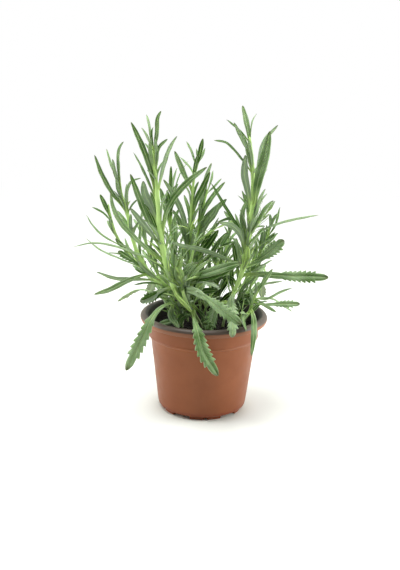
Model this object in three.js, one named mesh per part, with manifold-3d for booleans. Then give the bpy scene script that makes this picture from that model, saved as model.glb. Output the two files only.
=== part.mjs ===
// A young lavender with toothed and plain leaves, in a round two-tone plastic nursery pot.
// Millimetres, +Z up. The origin is on the pot's axis, at the surface that the pot stands on.
import * as THREE from "three";
import { mergeVertices } from "three/addons/utils/BufferGeometryUtils.js";
import Module from "manifold-3d";

const wasm = await Module();
wasm.setup();

// Pot. The lip's sections are [radius, distance below the pot's top].
const potHeight = 101.3;
const wall = 1.6;
const lipUnderside = [[58.6, 2.4], [61, 1.6], [62.5, 3.1], [62.2, 8]];
const lipOver = [[63.5, 8], [65, 4.4], [64.2, 2.1], [62.4, 0.4], [60, 0], [57, 1.4]];
const collar = { topRadius: 57, bottomRadius: 55.8, ridge: 0.4, top: 96, bottom: 78 };
const bore = { topRadius: 54.8, bottomRadius: 44 };
const body = { topRadius: 53.9, bottomRadius: 45.6, top: 76.6, bottom: 8 };
const floorHeight = 3;
const corner = { radius: 41.8, lowRadius: 44.9, lowHeight: 4.6 };
const innerCorner = { radius: 38.6, lowRadius: 42, lowHeight: 6 };
const foot = { count: 5, turn: 6, angle: 45, outerRadius: 41.2, innerRadius: 34, sunk: 0.8, arcSteps: 5 };
const notch = { length: 20, width: 3.2, height: 1.8, middleRadius: 39.2 };
const drain = { radius: 3.5, ringRadius: 27, sides: 8 };
const centrePad = { radius: 11, sides: 16 };
const roundSteps = 36;

// Soil, and the plain holes that the stems stand in
const soil = { edgeHeight: 85, middleHeight: 87.5, bottomRadius: 37.4, gap: 0.35 };
const soilRings = [0.8, 0.45];
const soilSteps = 24;
const holeGap = 0.4;
const holeSides = 6;
const rootDepth = 13;
const straightAbove = 3;

// Stems and blades. Shares run from 0 at a stem's or blade's foot to 1 at its tip.
const stalkSides = 4;
const stalkStep = 20;
const stalkPoint = 0.3;
const stalkTaper = 4;
const blade = { keel: 0.9, fold: 0.12 };
const plainBlade = { foot: 0.55, fullness: 0.5, widest: 1.2, size: 0.88 };
const toothedBlade = { foot: 0.3, fullness: 0.55, widest: 2.3, size: 1 };
const plainShares = [0, 0.22, 0.52, 0.86];
const shortShares = [0, 0.32, 0.8];
const tooth = { from: 0.46, to: 0.85, lean: 0.42, peak: 0.6, valley: 0.7, crown: 1.14 };
const toothlessShares = { foot: [0, 0.16], end: 0.94 };
const shortBlade = 38;
const lineStep = 0.01;
const lineSamples = 400;

// A leaf that would come within the clearance of another node swings by these counts of steps
const clearance = 0.35;
const swings = [0, 1, -1, 2, -2, 3, -3, 4, -4];
const depthSwing = 5;
const headingSwing = 14;

// How much the seeded draws vary the leaves that are placed by rule, and how much those bend
const variation = { share: 0.012, heading: 12, long: 0.14, spread: 5, wide: 0.12 };
const bend = { mean: 9, range: 6 };
const seeds = { first: 101, step: 37 };

// The front view that places the stems and leaves. A picture point is [across, down] in
// pixels of a picture 400 wide and 570 high, and depth is the distance behind the pot's axis.
const view = { distance: 870, height: 366, turn: -0.0054, tilt: 0.2655, roll: 0.0248 };
const picture = { middle: [200, 285], focal: 890 };

// Each stem: root [x, y] on the soil, then its route as [across, down, depth].
// Each leaf: its path of picture points from the stem to the tip, how far its tip lies
// behind its base (back), its width, and how far its upper face turns from the viewer
// towards the stem: at 0 the upper face shows, at 90 the edge, at 180 the underside.
// A leaf that the view doesn't show has its share of the stem's length instead, its heading
// round the stem, its length, and its spread from the stem, which bends a little further out.
// Pairs are such leaves placed by rule along the stretch from..to of the stem's length.
const stems = [
  {
    name: "stem_front_left",
    root: [-8, 2],
    route: [
      [190, 311, -14], [177, 293, -28], [168, 270, -33], [163, 250, -34],
      [160, 230, -33], [158, 205, -31], [156, 180, -28], [152.5, 150, -24],
    ],
    thick: [6, 2.4],
    leaves: [
      {
        path: [[156, 191], [149.5, 167], [142, 146], [131, 122]],
        back: 6, wide: 7.5, turn: 35,
      },
      { path: [[154, 155], [157, 132], [157.5, 119], [161, 111]], back: -8, wide: 6, turn: 50 },
      { path: [[152, 145], [149, 126], [146.5, 114.5]], back: 10, wide: 5, turn: 72 },
      { path: [[151, 148], [147, 137], [141.5, 128]], back: 14, wide: 5.5, turn: 120 },
      { path: [[152, 142], [152, 133], [153, 127]], back: 3, wide: 3.5, turn: 70 },
      { path: [[156, 166], [158.5, 149], [167.5, 139]], back: -6, wide: 6, turn: 50 },
      { path: [[158, 190], [163.5, 167], [169.5, 149], [177, 136]], back: -10, wide: 6.5, turn: 130 },
      { path: [[157, 199], [144, 173], [133.5, 152.5]], back: 8, wide: 6, turn: 62 },
      { path: [[151, 152], [149, 149], [145, 143]], back: 6, wide: 3.5, turn: 50 },
      {
        path: [[161, 232], [166, 213], [175, 196], [190, 180], [207, 167]],
        back: -8, wide: 8, turn: 24,
      },
      {
        path: [[167, 268], [150, 259.5], [120, 248], [95, 243.3], [72.5, 247]],
        back: -6, wide: 5, turn: 62,
      },
      {
        path: [[173, 287], [160, 291], [150, 297.5], [140, 301.5]],
        back: 2, wide: 11, turn: 152, teeth: 5,
      },
      {
        path: [[184, 301], [170, 303.5], [160, 308.5], [151.5, 319], [143, 336.5], [126, 370.5]],
        back: [-8, -20, -34, -40, -42], wide: 12, turn: 10, teeth: 6,
      },
      { path: [[160, 238], [148, 220], [138, 195], [130.3, 174]], back: 14, wide: 7.5, turn: 28 },
      { path: [[159, 222], [152, 208], [145, 194], [143, 181]], back: 20, wide: 9.5, turn: 160 },
      { path: [[161, 246], [148, 230], [130, 208]], back: 6, wide: 7.5, turn: 145 },
      { path: [[160.5, 240], [155, 226], [149, 212], [143, 203]], back: 12, wide: 6, turn: 40 },
      {
        path: [[165, 261], [151, 252], [136, 239], [121, 223], [113, 207], [110.5, 192]],
        back: 16, wide: 8.5, turn: 30,
      },
    ],
    pairs: {
      from: 0.42, to: 0.8, count: 4, long: [44, 28], spread: [30, 18],
      wide: 4.8, heading: 140, step: 80,
    },
  },
  {
    name: "stem_left",
    root: [-17, 9],
    route: [
      [181, 303, -10], [169, 288, -18], [155, 278, -20], [144, 266, -20],
      [137, 252, -18], [131, 232, -16], [127, 212, -14], [121, 192, -12], [118.5, 170, -10],
    ],
    thick: [4.4, 1.8],
    leaves: [
      { path: [[120, 186], [118.5, 165], [119, 150], [123.5, 141.5]], back: -4, wide: 6, turn: 50 },
      { path: [[119, 184], [111, 165], [106.5, 149]], back: 6, wide: 4.5, turn: 66 },
      { path: [[119.5, 188], [114.5, 172], [112.5, 159]], back: -6, wide: 6.5, turn: 130 },
      { path: [[126, 209], [112, 193], [101, 173], [94.5, 155]], back: -6, wide: 7, turn: 42 },
      { path: [[127, 212], [127, 194], [131, 182.5], [141, 178]], back: -8, wide: 6, turn: 118 },
      { path: [[127.5, 213], [132, 205.5], [138, 199]], back: -5, wide: 3.5, turn: 60 },
      { path: [[132, 240], [134, 231], [139.5, 221]], back: 4, wide: 5, turn: 120 },
      {
        path: [[136.5, 251], [139, 236], [141.5, 214], [146, 202], [157, 201], [169, 206.5]],
        back: 14, wide: 3, turn: 70,
      },
      { path: [[145, 268], [120, 259], [100, 250], [85.5, 238]], back: 10, wide: 4.5, turn: 70 },
      {
        path: [[157, 279], [135, 279.3], [115, 278.5], [96.5, 272]],
        back: 9, wide: 6.5, turn: 125,
      },
      {
        path: [[150, 274], [140, 276], [125, 282], [110, 289.5], [94, 294.5]],
        back: -12, wide: 7.5, turn: 40,
      },
      { path: [[163, 284], [148, 283], [133.5, 285]], back: -4, wide: 4, turn: 50 },
      { path: [[149, 273], [141, 272.5], [134.5, 268.5]], back: 4, wide: 3.5, turn: 50 },
      { path: [[147, 270], [133, 261], [118, 251]], back: 14, wide: 8.5, turn: 35, teeth: 4 },
    ],
    pairs: {
      from: 0.4, to: 0.78, count: 4, long: [40, 26], spread: [32, 20],
      wide: 4.6, heading: 130, step: 85,
    },
  },
  {
    name: "stem_far_left",
    root: [-27, 20],
    route: [
      [171, 296, 10], [150, 276, 12], [129, 255, 14], [118, 239, 14],
      [113, 226, 13], [110, 214, 12], [108, 203, 12],
    ],
    thick: [3.6, 1.6],
    leaves: [
      { path: [[110, 216], [104.5, 204], [100, 194.5]], back: -4, wide: 6, turn: 40 },
      { path: [[111, 222], [103, 213], [92, 207]], back: 4, wide: 4, turn: 66 },
      { path: [[121, 246], [103, 236], [92, 225], [86.5, 215]], back: -4, wide: 4.5, turn: 64 },
      { path: [[128, 254], [122, 245], [115.5, 238.5]], back: -6, wide: 7, turn: 40 },
    ],
    pairs: {
      from: 0.4, to: 0.78, count: 3, long: [38, 24], spread: [34, 22],
      wide: 4.6, heading: 120, step: 90,
    },
  },
  {
    name: "stem_right",
    root: [20, -4],
    route: [
      [229, 304, -6], [236, 288, -7], [242, 272, -7], [245, 255, -6], [249, 232, -4],
      [252, 208, -2], [253, 185, 0], [252.5, 162, 1], [249.5, 136, 2],
    ],
    thick: [5.4, 2.2],
    leaves: [
      { path: [[249, 142], [247.5, 127], [242.5, 105.5]], back: 4, wide: 7, turn: 30 },
      { path: [[250, 143], [240, 131.5], [226.5, 119.5]], back: 10, wide: 5, turn: 68 },
      { path: [[250.5, 156], [243, 141], [234, 122.5]], back: -8, wide: 6, turn: 130 },
      { path: [[249.5, 138], [252, 122.5], [256.5, 113.5]], back: 6, wide: 3, turn: 72 },
      {
        path: [[252, 173], [241, 158.5], [227, 143.5], [214, 140.3]],
        back: -12, wide: 5, turn: 60,
      },
      { path: [[252.5, 207], [258.5, 180], [265, 156], [270, 131]], back: -6, wide: 10, turn: 14 },
      { path: [[253, 196], [259, 168], [264, 143], [278, 125]], back: 10, wide: 8, turn: 135 },
      { path: [[253, 200], [260, 180], [267, 169.5]], back: 18, wide: 5, turn: 60 },
      { path: [[252, 206], [247.5, 190], [244.5, 174], [245.5, 155]], back: -6, wide: 8.5, turn: 155 },
      { path: [[251, 214], [244, 202], [238, 195.5]], back: 6, wide: 3.5, turn: 60 },
      { path: [[250.5, 218], [247.5, 205], [244.5, 194]], back: 10, wide: 6, turn: 50 },
      { path: [[248.5, 238], [242.5, 224], [242.5, 212], [247, 200]], back: -8, wide: 7, turn: 42 },
      { path: [[248, 241], [240, 229], [235, 213.5]], back: 8, wide: 5, turn: 62 },
      { path: [[251.5, 222], [257.5, 210], [260.5, 196]], back: -8, wide: 6, turn: 50 },
      { path: [[252, 216], [260, 203], [267, 193.5]], back: 10, wide: 4.5, turn: 58 },
      { path: [[249.5, 234], [259, 220], [266, 208], [273.5, 200.5]], back: 4, wide: 7, turn: 48 },
      { path: [[247, 244], [238, 228], [225, 207], [211, 183]], back: -10, wide: 6, turn: 54 },
      {
        path: [[246, 250], [240, 234], [231, 225.5], [219, 222.5]],
        back: -22, wide: 7.5, turn: 148,
      },
      { path: [[246.5, 248], [237, 229], [224, 211]], back: 14, wide: 6, turn: 45 },
      {
        path: [[243, 266], [222, 257.5], [200, 249.5], [185, 246.5], [170.5, 242]],
        back: -30, wide: 7, turn: 130,
      },
      { path: [[245.5, 256], [238, 244], [229, 235]], back: 10, wide: 4, turn: 58 },
      { path: [[243, 268], [238, 254], [236, 238]], back: 14, wide: 7.5, turn: 32 },
      { path: [[247, 244], [262, 231], [285, 222], [318.5, 215]], back: 12, wide: 5, turn: 64 },
      {
        path: [[241, 275], [255, 274.3], [275, 275.2], [300, 276.5], [328.5, 277.5]],
        back: -16, wide: 12.5, turn: 14, teeth: 7,
      },
      {
        path: [[244, 267], [256, 262.5], [270, 252], [284, 240]],
        back: 8, wide: 12.5, turn: 24, teeth: 5,
      },
      {
        path: [[234, 292], [232.5, 303], [233, 319], [232.5, 337.5]],
        back: [-20, -38, -58], wide: 10.5, turn: 6, teeth: 5,
      },
    ],
    pairs: {
      from: 0.4, to: 0.76, count: 5, long: [46, 28], spread: [30, 18],
      wide: 5, heading: 135, step: 85,
    },
  },
  {
    name: "stem_centre",
    root: [-9, 27],
    route: [
      [192, 296, 22], [189, 272, 19], [190, 246, 17], [191, 222, 16],
      [192, 200, 15], [194, 178, 14], [197, 160, 13],
    ],
    thick: [4, 1.8],
    leaves: [
      { path: [[196, 168], [200, 153], [203, 138.5]], back: -4, wide: 6.5, turn: 42 },
      { path: [[196, 166], [191.5, 152], [186.5, 141.5]], back: 6, wide: 4.5, turn: 68 },
      { path: [[197, 162], [197, 155], [196.5, 148.5]], back: 5, wide: 3.5, turn: 60 },
      { path: [[197, 165], [202, 157], [205, 148]], back: 8, wide: 4, turn: 62 },
      { path: [[193, 190], [184, 174], [174.5, 151]], back: -5, wide: 7, turn: 32 },
      { path: [[195, 176], [190, 168], [180, 157]], back: 8, wide: 4.5, turn: 66 },
      {
        path: [[190, 237], [182, 213], [173, 194], [163.5, 179.5]],
        back: -4, wide: 7.5, turn: 145,
      },
      { path: [[189, 264], [186, 240], [181, 222], [170.5, 210.5]], back: -12, wide: 5.5, turn: 60 },
    ],
    pairs: {
      from: 0.36, to: 0.74, count: 4, long: [42, 26], spread: [30, 20],
      wide: 4.8, heading: 130, step: 80,
    },
  },
  {
    name: "stem_centre_right",
    root: [3, 33],
    route: [
      [200, 290, 30], [197, 266, 28], [197, 243, 27], [200, 222, 27], [204, 204, 26], [208, 188, 26],
    ],
    thick: [3.6, 1.6],
    leaves: [
      { path: [[200, 222], [203, 195], [207, 176], [211.5, 163]], back: -6, wide: 8, turn: 145 },
      { path: [[208, 190], [211.5, 180], [213, 170.5]], back: 4, wide: 4, turn: 55 },
      { path: [[199, 228], [204, 211], [213, 196], [225, 182]], back: -12, wide: 6.5, turn: 38 },
      { path: [[207, 194], [214, 187], [221.5, 178.5]], back: 8, wide: 3.5, turn: 58 },
      { path: [[198, 236], [206, 219], [217, 208], [226.5, 199]], back: -22, wide: 8.5, turn: 152 },
      { path: [[197, 246], [205, 227], [214, 215], [220, 202]], back: -30, wide: 7.5, turn: 140 },
      { path: [[197, 256], [208, 245], [218.5, 230]], back: -10, wide: 7.5, turn: 28 },
      { path: [[198, 264], [206, 259], [214, 250], [222, 238]], back: -16, wide: 6, turn: 45 },
    ],
    pairs: {
      from: 0.36, to: 0.76, count: 3, long: [40, 26], spread: [30, 20],
      wide: 4.8, heading: 45, step: 90,
    },
  },
  {
    name: "shoot_right_rim",
    root: [37, -14],
    route: [[249, 312, -21], [253, 301, -24], [257, 290, -25]],
    thick: [2.8, 1.7],
    leaves: [
      { path: [[256, 294], [262, 285], [272.5, 269]], back: 5, wide: 6.5, turn: 38 },
      { path: [[255, 299], [266, 299.5], [281, 292], [292, 288]], back: 10, wide: 4.5, turn: 64 },
      {
        path: [[253, 302], [262, 304.5], [282, 304], [300, 304]],
        back: -8, wide: 8, turn: 36, teeth: 5,
      },
      { path: [[254, 299], [264, 304.5], [276, 312]], back: 6, wide: 5, turn: 50 },
      {
        path: [[250, 309], [253.5, 318], [254, 334], [251.5, 356]],
        back: [-16, -34, -40], wide: 7.5, turn: 20,
      },
      { path: [[249, 313], [243, 319], [246, 331]], back: [-20, -36], wide: 6, turn: 30 },
    ],
    pairs: {
      from: 0.45, to: 0.9, count: 3, long: [28, 18], spread: [48, 30],
      wide: 4.4, heading: 60, step: 70,
    },
  },
  {
    name: "stem_right_upper",
    root: [30, 18],
    route: [[240, 293, 14], [249, 274, 15], [258, 257, 16], [266, 240, 17], [271, 225, 18]],
    thick: [3, 1.7],
    leaves: [
      { path: [[268, 237], [276, 224], [280, 207]], back: 4, wide: 4.5, turn: 62 },
      { path: [[270, 230], [274, 219], [278.5, 213]], back: -4, wide: 4.5, turn: 50 },
      { path: [[270, 232], [270.5, 224], [270, 214]], back: -4, wide: 6, turn: 130 },
      { path: [[264, 246], [271, 240], [278, 233]], back: -6, wide: 5.5, turn: 50 },
      { path: [[260, 254], [262, 243], [264, 228]], back: -8, wide: 7.5, turn: 145 },
    ],
    pairs: {
      from: 0.35, to: 0.8, count: 4, long: [34, 22], spread: [36, 22],
      wide: 4.4, heading: 50, step: 85,
    },
  },
  {
    name: "stem_front_centre",
    root: [-2, -14],
    route: [[193, 310, -23], [186.5, 291, -28], [188, 272, -25], [192, 256, -22], [195, 242, -20]],
    thick: [3.6, 1.9],
    leaves: [
      {
        path: [[184.5, 290], [195, 291], [207, 298.5], [222, 309.5], [241.5, 324]],
        back: [-10, -22, -34, -42], wide: 12.5, turn: 6, teeth: 6,
      },
      {
        path: [[192, 309], [194, 319], [196, 326], [198, 333], [204, 353], [218, 376]],
        back: [-20, -40, -51, -57, -58], wide: 13, turn: 8, teeth: 7,
      },
      { path: [[187, 279], [205, 274], [222, 268.5], [241, 263]], back: -8, wide: 12, turn: 32 },
      {
        path: [[186, 284], [200, 281.3], [211, 283.5], [219, 288]],
        back: -12, wide: 6.5, turn: 130,
      },
      { path: [[192, 305], [203, 316], [211, 334]], back: [-4, -18], wide: 12, turn: 20, teeth: 4 },
      { path: [[186.5, 289], [185, 280], [189, 271], [198, 262.5]], back: -8, wide: 5.5, turn: 60 },
      { path: [[186.5, 287], [193, 277], [203, 265], [214, 256]], back: 8, wide: 3.5, turn: 65 },
    ],
    pairs: {
      from: 0.4, to: 0.95, count: 5, long: [36, 20], spread: [40, 20],
      wide: 4.8, heading: 20, step: 82,
    },
  },
  {
    name: "shoot_front_low",
    root: [-22, -12],
    route: [[180, 312, -22], [174, 303, -27], [170, 296, -29]],
    thick: [2.6, 1.6],
    leaves: [
      { path: [[174, 304], [171, 316], [179, 328]], back: [-4, -16], wide: 7, turn: 30 },
      { path: [[184, 319], [168, 324], [153, 324.5]], back: [-6, -12], wide: 7, turn: 60 },
    ],
    pairs: {
      from: 0.5, to: 0.9, count: 2, long: [24, 16], spread: [44, 30],
      wide: 4.4, heading: 150, step: 70,
    },
  },
  {
    name: "stem_behind_left",
    root: [-22, 36],
    route: [[178, 290, 34], [174, 266, 34], [172, 240, 34], [171, 216, 34], [172, 194, 34]],
    thick: [3, 1.7],
    leaves: [
      { path: [[172, 198], [170.5, 182], [171, 166]], back: 3, wide: 5.5, turn: 48 },
      { path: [[172, 196], [173.5, 181], [177, 168]], back: -3, wide: 4.5, turn: 58 },
      { path: [[172, 224], [165, 206], [160, 188]], back: -8, wide: 8, turn: 28 },
      { path: [[173, 254], [175.5, 236], [174.5, 215]], back: -8, wide: 6, turn: 20 },
      { path: [[171.5, 209], [175, 190], [180, 174], [188, 161]], back: 9, wide: 3, turn: 60 },
    ],
    pairs: {
      from: 0.3, to: 0.94, count: 6, long: [46, 24], spread: [38, 20],
      wide: 5.2, heading: 40, step: 84,
    },
  },
  {
    name: "stem_behind_right",
    root: [16, 42],
    route: [[217, 286, 41], [222, 266, 41], [227, 248, 42], [230, 230, 43]],
    thick: [3, 1.7],
    leaves: [
      { path: [[222, 262], [222, 245], [231, 232]], back: -12, wide: 6, turn: 40 },
      { path: [[220.5, 272], [216.5, 257], [222, 247], [234, 241]], back: -20, wide: 4.5, turn: 60 },
    ],
    pairs: {
      from: 0.3, to: 0.94, count: 6, long: [44, 24], spread: [40, 22],
      wide: 5.2, heading: 20, step: 86,
    },
  },
  {
    name: "stem_back_left",
    root: [-38, 30],
    route: [[163, 286, 38], [153, 264, 42], [146, 242, 45], [142, 224, 47]],
    thick: [3, 1.7],
    leaves: [
      { share: 0.26, heading: 150, long: 66, spread: 82, bend: 20, wide: 11, teeth: 5 },
      { share: 0.3, heading: 112, long: 70, spread: 84, bend: 26, wide: 11.5, teeth: 5 },
    ],
    pairs: {
      from: 0.26, to: 0.95, count: 6, long: [48, 24], spread: [42, 20],
      wide: 5.4, heading: 120, step: 88,
    },
  },
  {
    name: "stem_back_right",
    root: [36, 34],
    route: [[249, 290, 40], [256, 272, 44], [261, 254, 46]],
    thick: [2.8, 1.6],
    leaves: [
      { share: 0.36, heading: 22, long: 62, spread: 76, bend: 16, wide: 11, teeth: 5 },
      { share: 0.42, heading: 64, long: 68, spread: 82, bend: 28, wide: 11.5, teeth: 5 },
    ],
    pairs: {
      from: 0.28, to: 0.94, count: 6, long: [44, 24], spread: [42, 22],
      wide: 5.4, heading: 60, step: 88,
    },
  },
  {
    name: "stem_back_centre",
    root: [-4, 42],
    route: [[198, 286, 48], [196, 262, 56], [196, 238, 62]],
    thick: [3, 1.7],
    leaves: [
      { share: 0.32, heading: 78, long: 74, spread: 84, bend: 30, wide: 12, teeth: 5 },
      { share: 0.4, heading: 106, long: 60, spread: 66, bend: 18, wide: 10, teeth: 5 },
    ],
    pairs: {
      from: 0.26, to: 0.95, count: 6, long: [50, 26], spread: [42, 20],
      wide: 5.6, heading: 85, step: 88,
    },
  },
];

const potFinish = { color: 0xa0593a, roughness: 0.45 };
const soilFinish = { color: 0x2b221d, roughness: 0.95 };
const foliageFinish = { color: 0x6d9160, roughness: 0.75 };
const mergeDistance = 1e-4;

// A solid from corner positions and triangles that already share their corners
function solidFrom(positions, triangles) {
  const made = new wasm.Manifold(
    new wasm.Mesh({
      numProp: 3,
      vertProperties: new Float32Array(positions),
      triVerts: new Uint32Array(triangles),
    }),
  );
  if (made.volume() > 0) return made;
  const turned = triangles.slice();
  for (let i = 0; i < turned.length; i += 3) {
    [turned[i + 1], turned[i + 2]] = [turned[i + 2], turned[i + 1]];
  }
  return solidFrom(positions, turned);
}

// A three.js geometry as a solid, with its doubled corners merged and its flat triangles dropped
function solidOf(geometry) {
  const loose = geometry.index ? geometry.toNonIndexed() : geometry.clone();
  loose.deleteAttribute("normal");
  loose.deleteAttribute("uv");
  const merged = mergeVertices(loose, mergeDistance);
  const corners = merged.index.array;
  const kept = [];
  for (let i = 0; i < corners.length; i += 3) {
    const [a, b, c] = [corners[i], corners[i + 1], corners[i + 2]];
    if (a !== b && b !== c && c !== a) kept.push(a, b, c);
  }
  return solidFrom(Array.from(merged.attributes.position.array), kept);
}

function geometryOf(solid) {
  const mesh = solid.getMesh();
  const geometry = new THREE.BufferGeometry();
  geometry.setAttribute("position", new THREE.BufferAttribute(mesh.vertProperties, 3));
  geometry.setIndex(new THREE.BufferAttribute(mesh.triVerts, 1));
  geometry.computeVertexNormals();
  return geometry;
}

// A profile of [radius, height] turned about the pot's axis
function turned(profile, steps) {
  const points = profile.map(([radius, height]) => new THREE.Vector2(radius, height));
  return solidOf(new THREE.LatheGeometry(points, steps).rotateX(Math.PI / 2));
}

// The pot's wall: outer side from the floor up, over the rolled lip, and down the inner side
function potShell() {
  const belowTop = ([radius, drop]) => [radius, potHeight - drop];
  const profile = [
    [0, floorHeight],
    [corner.radius, floorHeight],
    [corner.lowRadius, corner.lowHeight],
    [body.bottomRadius, body.bottom],
    [body.topRadius, body.top],
    [collar.bottomRadius + collar.ridge, collar.bottom],
    [collar.topRadius, collar.top],
    ...lipUnderside.map(belowTop),
    ...lipOver.map(belowTop),
    [bore.topRadius, collar.top],
    [bore.bottomRadius, body.bottom],
    [innerCorner.lowRadius, innerCorner.lowHeight],
    [innerCorner.radius, floorHeight + wall],
    [0, floorHeight + wall],
  ];
  return turned(profile, roundSteps);
}

// An upright round bar between two heights, with flat sides
function roundBar(radius, low, high, sides) {
  const bar = new THREE.CylinderGeometry(radius, radius, high - low, sides);
  return bar.rotateX(Math.PI / 2).translate(0, 0, (low + high) / 2);
}

// A foot is a short length of ring under the floor
function footPiece(height) {
  const halfAngle = THREE.MathUtils.degToRad(foot.angle / 2);
  const outline = new THREE.Shape();
  outline.absarc(0, 0, foot.outerRadius, -halfAngle, halfAngle, false);
  outline.absarc(0, 0, foot.innerRadius, halfAngle, -halfAngle, true);
  outline.closePath();
  const options = { depth: height, bevelEnabled: false, curveSegments: foot.arcSteps };
  return new THREE.ExtrudeGeometry(outline, options);
}

// The pot stands on a middle pad and on feet, which each have a small notch at their middle.
// A drain hole goes through the floor between every two feet.
function potWithFeet() {
  const sunkTop = floorHeight + foot.sunk;
  let made = potShell().add(solidOf(roundBar(centrePad.radius, 0, sunkTop, centrePad.sides)));
  const first = THREE.MathUtils.degToRad(foot.turn - 90);
  const turnOf = (i) => first + (i * 2 * Math.PI) / foot.count;
  for (let i = 0; i < foot.count; i += 1) {
    made = made.add(solidOf(footPiece(sunkTop).rotateZ(turnOf(i))));
  }
  for (let i = 0; i < foot.count; i += 1) {
    const gap = new THREE.BoxGeometry(notch.length, notch.width, 2 * notch.height);
    gap.translate(notch.middleRadius, 0, 0).rotateZ(turnOf(i));
    const hole = roundBar(drain.radius, floorHeight - wall, floorHeight + 2 * wall, drain.sides);
    hole.translate(drain.ringRadius, 0, 0).rotateZ(turnOf(i + 0.5));
    made = made.subtract(solidOf(gap)).subtract(solidOf(hole));
  }
  return made;
}

// Inner radius of the pot's wall at a height
function innerRadiusAt(height) {
  const share = (height - body.bottom) / (collar.top - body.bottom);
  return bore.bottomRadius + share * (bore.topRadius - bore.bottomRadius);
}

function soilHeightAt(radius) {
  const share = Math.min(1, radius / innerRadiusAt(soil.edgeHeight));
  return soil.middleHeight + (soil.edgeHeight - soil.middleHeight) * share * share;
}

// Soil fills the pot, a little higher in the middle, with a plain round hole for each stem
function soilWithHoles() {
  const low = floorHeight + wall + soil.gap;
  const rim = innerRadiusAt(soil.edgeHeight) - soil.gap;
  const profile = [
    [0, low],
    [soil.bottomRadius, low],
    [innerRadiusAt(body.bottom) - soil.gap, body.bottom],
    [rim, soil.edgeHeight],
    ...soilRings.map((share) => [rim * share, soilHeightAt(rim * share)]),
    [0, soil.middleHeight],
  ];
  let made = turned(profile, soilSteps);
  for (const stem of stems) {
    const [x, y] = stem.root;
    const radius = (stem.thick[0] / 2 + holeGap) / Math.cos(Math.PI / holeSides);
    const bottom = soil.middleHeight - rootDepth - holeGap;
    const hole = roundBar(radius, bottom, potHeight, holeSides).translate(x, y, 0);
    made = made.subtract(solidOf(hole));
  }
  return made;
}

// The viewer's place and the three directions of the view
function viewFrame() {
  const { turn, tilt, roll } = view;
  const forward = new THREE.Vector3(Math.sin(turn), Math.cos(turn), 0);
  const level = new THREE.Vector3(Math.cos(turn), -Math.sin(turn), 0);
  const ahead = forward.multiplyScalar(Math.cos(tilt)).setZ(-Math.sin(tilt));
  const upright = new THREE.Vector3().crossVectors(level, ahead);
  const right = level.clone().multiplyScalar(Math.cos(roll)).addScaledVector(upright, Math.sin(roll));
  const up = upright.clone().multiplyScalar(Math.cos(roll)).addScaledVector(level, -Math.sin(roll));
  return { from: new THREE.Vector3(0, -view.distance, view.height), ahead, right, up };
}

const sight = viewFrame();

// The point at a depth that the view shows at a picture point
function seen([across, down], depth) {
  const ray = sight.ahead.clone().multiplyScalar(picture.focal);
  ray.addScaledVector(sight.right, across - picture.middle[0]);
  ray.addScaledVector(sight.up, picture.middle[1] - down);
  return sight.from.clone().addScaledVector(ray, (depth - sight.from.y) / ray.y);
}

function pictureOf(point) {
  const offset = point.clone().sub(sight.from);
  const scale = picture.focal / offset.dot(sight.ahead);
  const across = picture.middle[0] + scale * offset.dot(sight.right);
  const down = picture.middle[1] - scale * offset.dot(sight.up);
  return [across, down];
}

function curveThrough(points) {
  return new THREE.CatmullRomCurve3(points, false, "catmullrom", 0.5);
}

function directionAt(curve, share) {
  const near = curve.getPointAt(Math.max(0, share - lineStep));
  const far = curve.getPointAt(Math.min(1, share + lineStep));
  return far.sub(near).normalize();
}

// A stem's middle line: straight up out of its hole, then along its route
function stemLine(stem) {
  const [x, y] = stem.root;
  const low = new THREE.Vector3(x, y, soil.middleHeight - rootDepth);
  const high = new THREE.Vector3(x, y, soil.middleHeight + straightAbove);
  const route = stem.route.map(([across, down, depth]) => seen([across, down], depth));
  return curveThrough([low, high, ...route]);
}

// Corner indices that join rings of equal size one after another, with an end cap at the start
// and a last point at the tip. Neighbouring sides are split along opposite corners.
function ringTriangles(rings, size) {
  const triangles = [];
  for (let i = 1; i < size - 1; i += 1) triangles.push(0, i, i + 1);
  for (let r = 0; r < rings - 1; r += 1) {
    for (let i = 0; i < size; i += 1) {
      const next = (i + 1) % size;
      const [a, b] = [r * size + i, r * size + next];
      const [c, d] = [b + size, a + size];
      if (i % 2 === 0) triangles.push(a, c, b, a, d, c);
      else triangles.push(a, d, b, b, d, c);
    }
  }
  const tip = rings * size;
  for (let i = 0; i < size; i += 1) {
    triangles.push((rings - 1) * size + i, tip, (rings - 1) * size + ((i + 1) % size));
  }
  return triangles;
}

// Shares of the stem's length where its stalk has a section: one at each end of the straight
// stretch in the soil, then even steps, with a short last one to the point
function stalkShares(length) {
  const straight = (rootDepth + straightAbove) / length;
  const steps = Math.round((length * (1 - straight)) / stalkStep);
  const step = (1 - straight) / (steps + stalkPoint);
  return [0, ...Array.from({ length: steps + 1 }, (_, i) => straight + step * i)];
}

// A square stalk along the stem's line, which thins mostly near its tip
function stalkSolid(stem, line) {
  const [thickLow, thickHigh] = stem.thick;
  const shares = stalkShares(line.getLength());
  const positions = [];
  const side = new THREE.Vector3(1, 0, 0);
  for (const share of shares) {
    const middle = line.getPointAt(share);
    const along = directionAt(line, share);
    side.addScaledVector(along, -side.dot(along)).normalize();
    const across = new THREE.Vector3().crossVectors(along, side);
    const radius = (thickLow + (thickHigh - thickLow) * share ** stalkTaper) / 2;
    for (let i = 0; i < stalkSides; i += 1) {
      const angle = (2 * Math.PI * (i + 0.5)) / stalkSides;
      const corner = middle.clone().addScaledVector(side, radius * Math.cos(angle));
      corner.addScaledVector(across, radius * Math.sin(angle));
      positions.push(corner.x, corner.y, corner.z);
    }
  }
  const tip = line.getPointAt(1);
  positions.push(tip.x, tip.y, tip.z);
  return solidFrom(positions, ringTriangles(shares.length, stalkSides));
}

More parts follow.
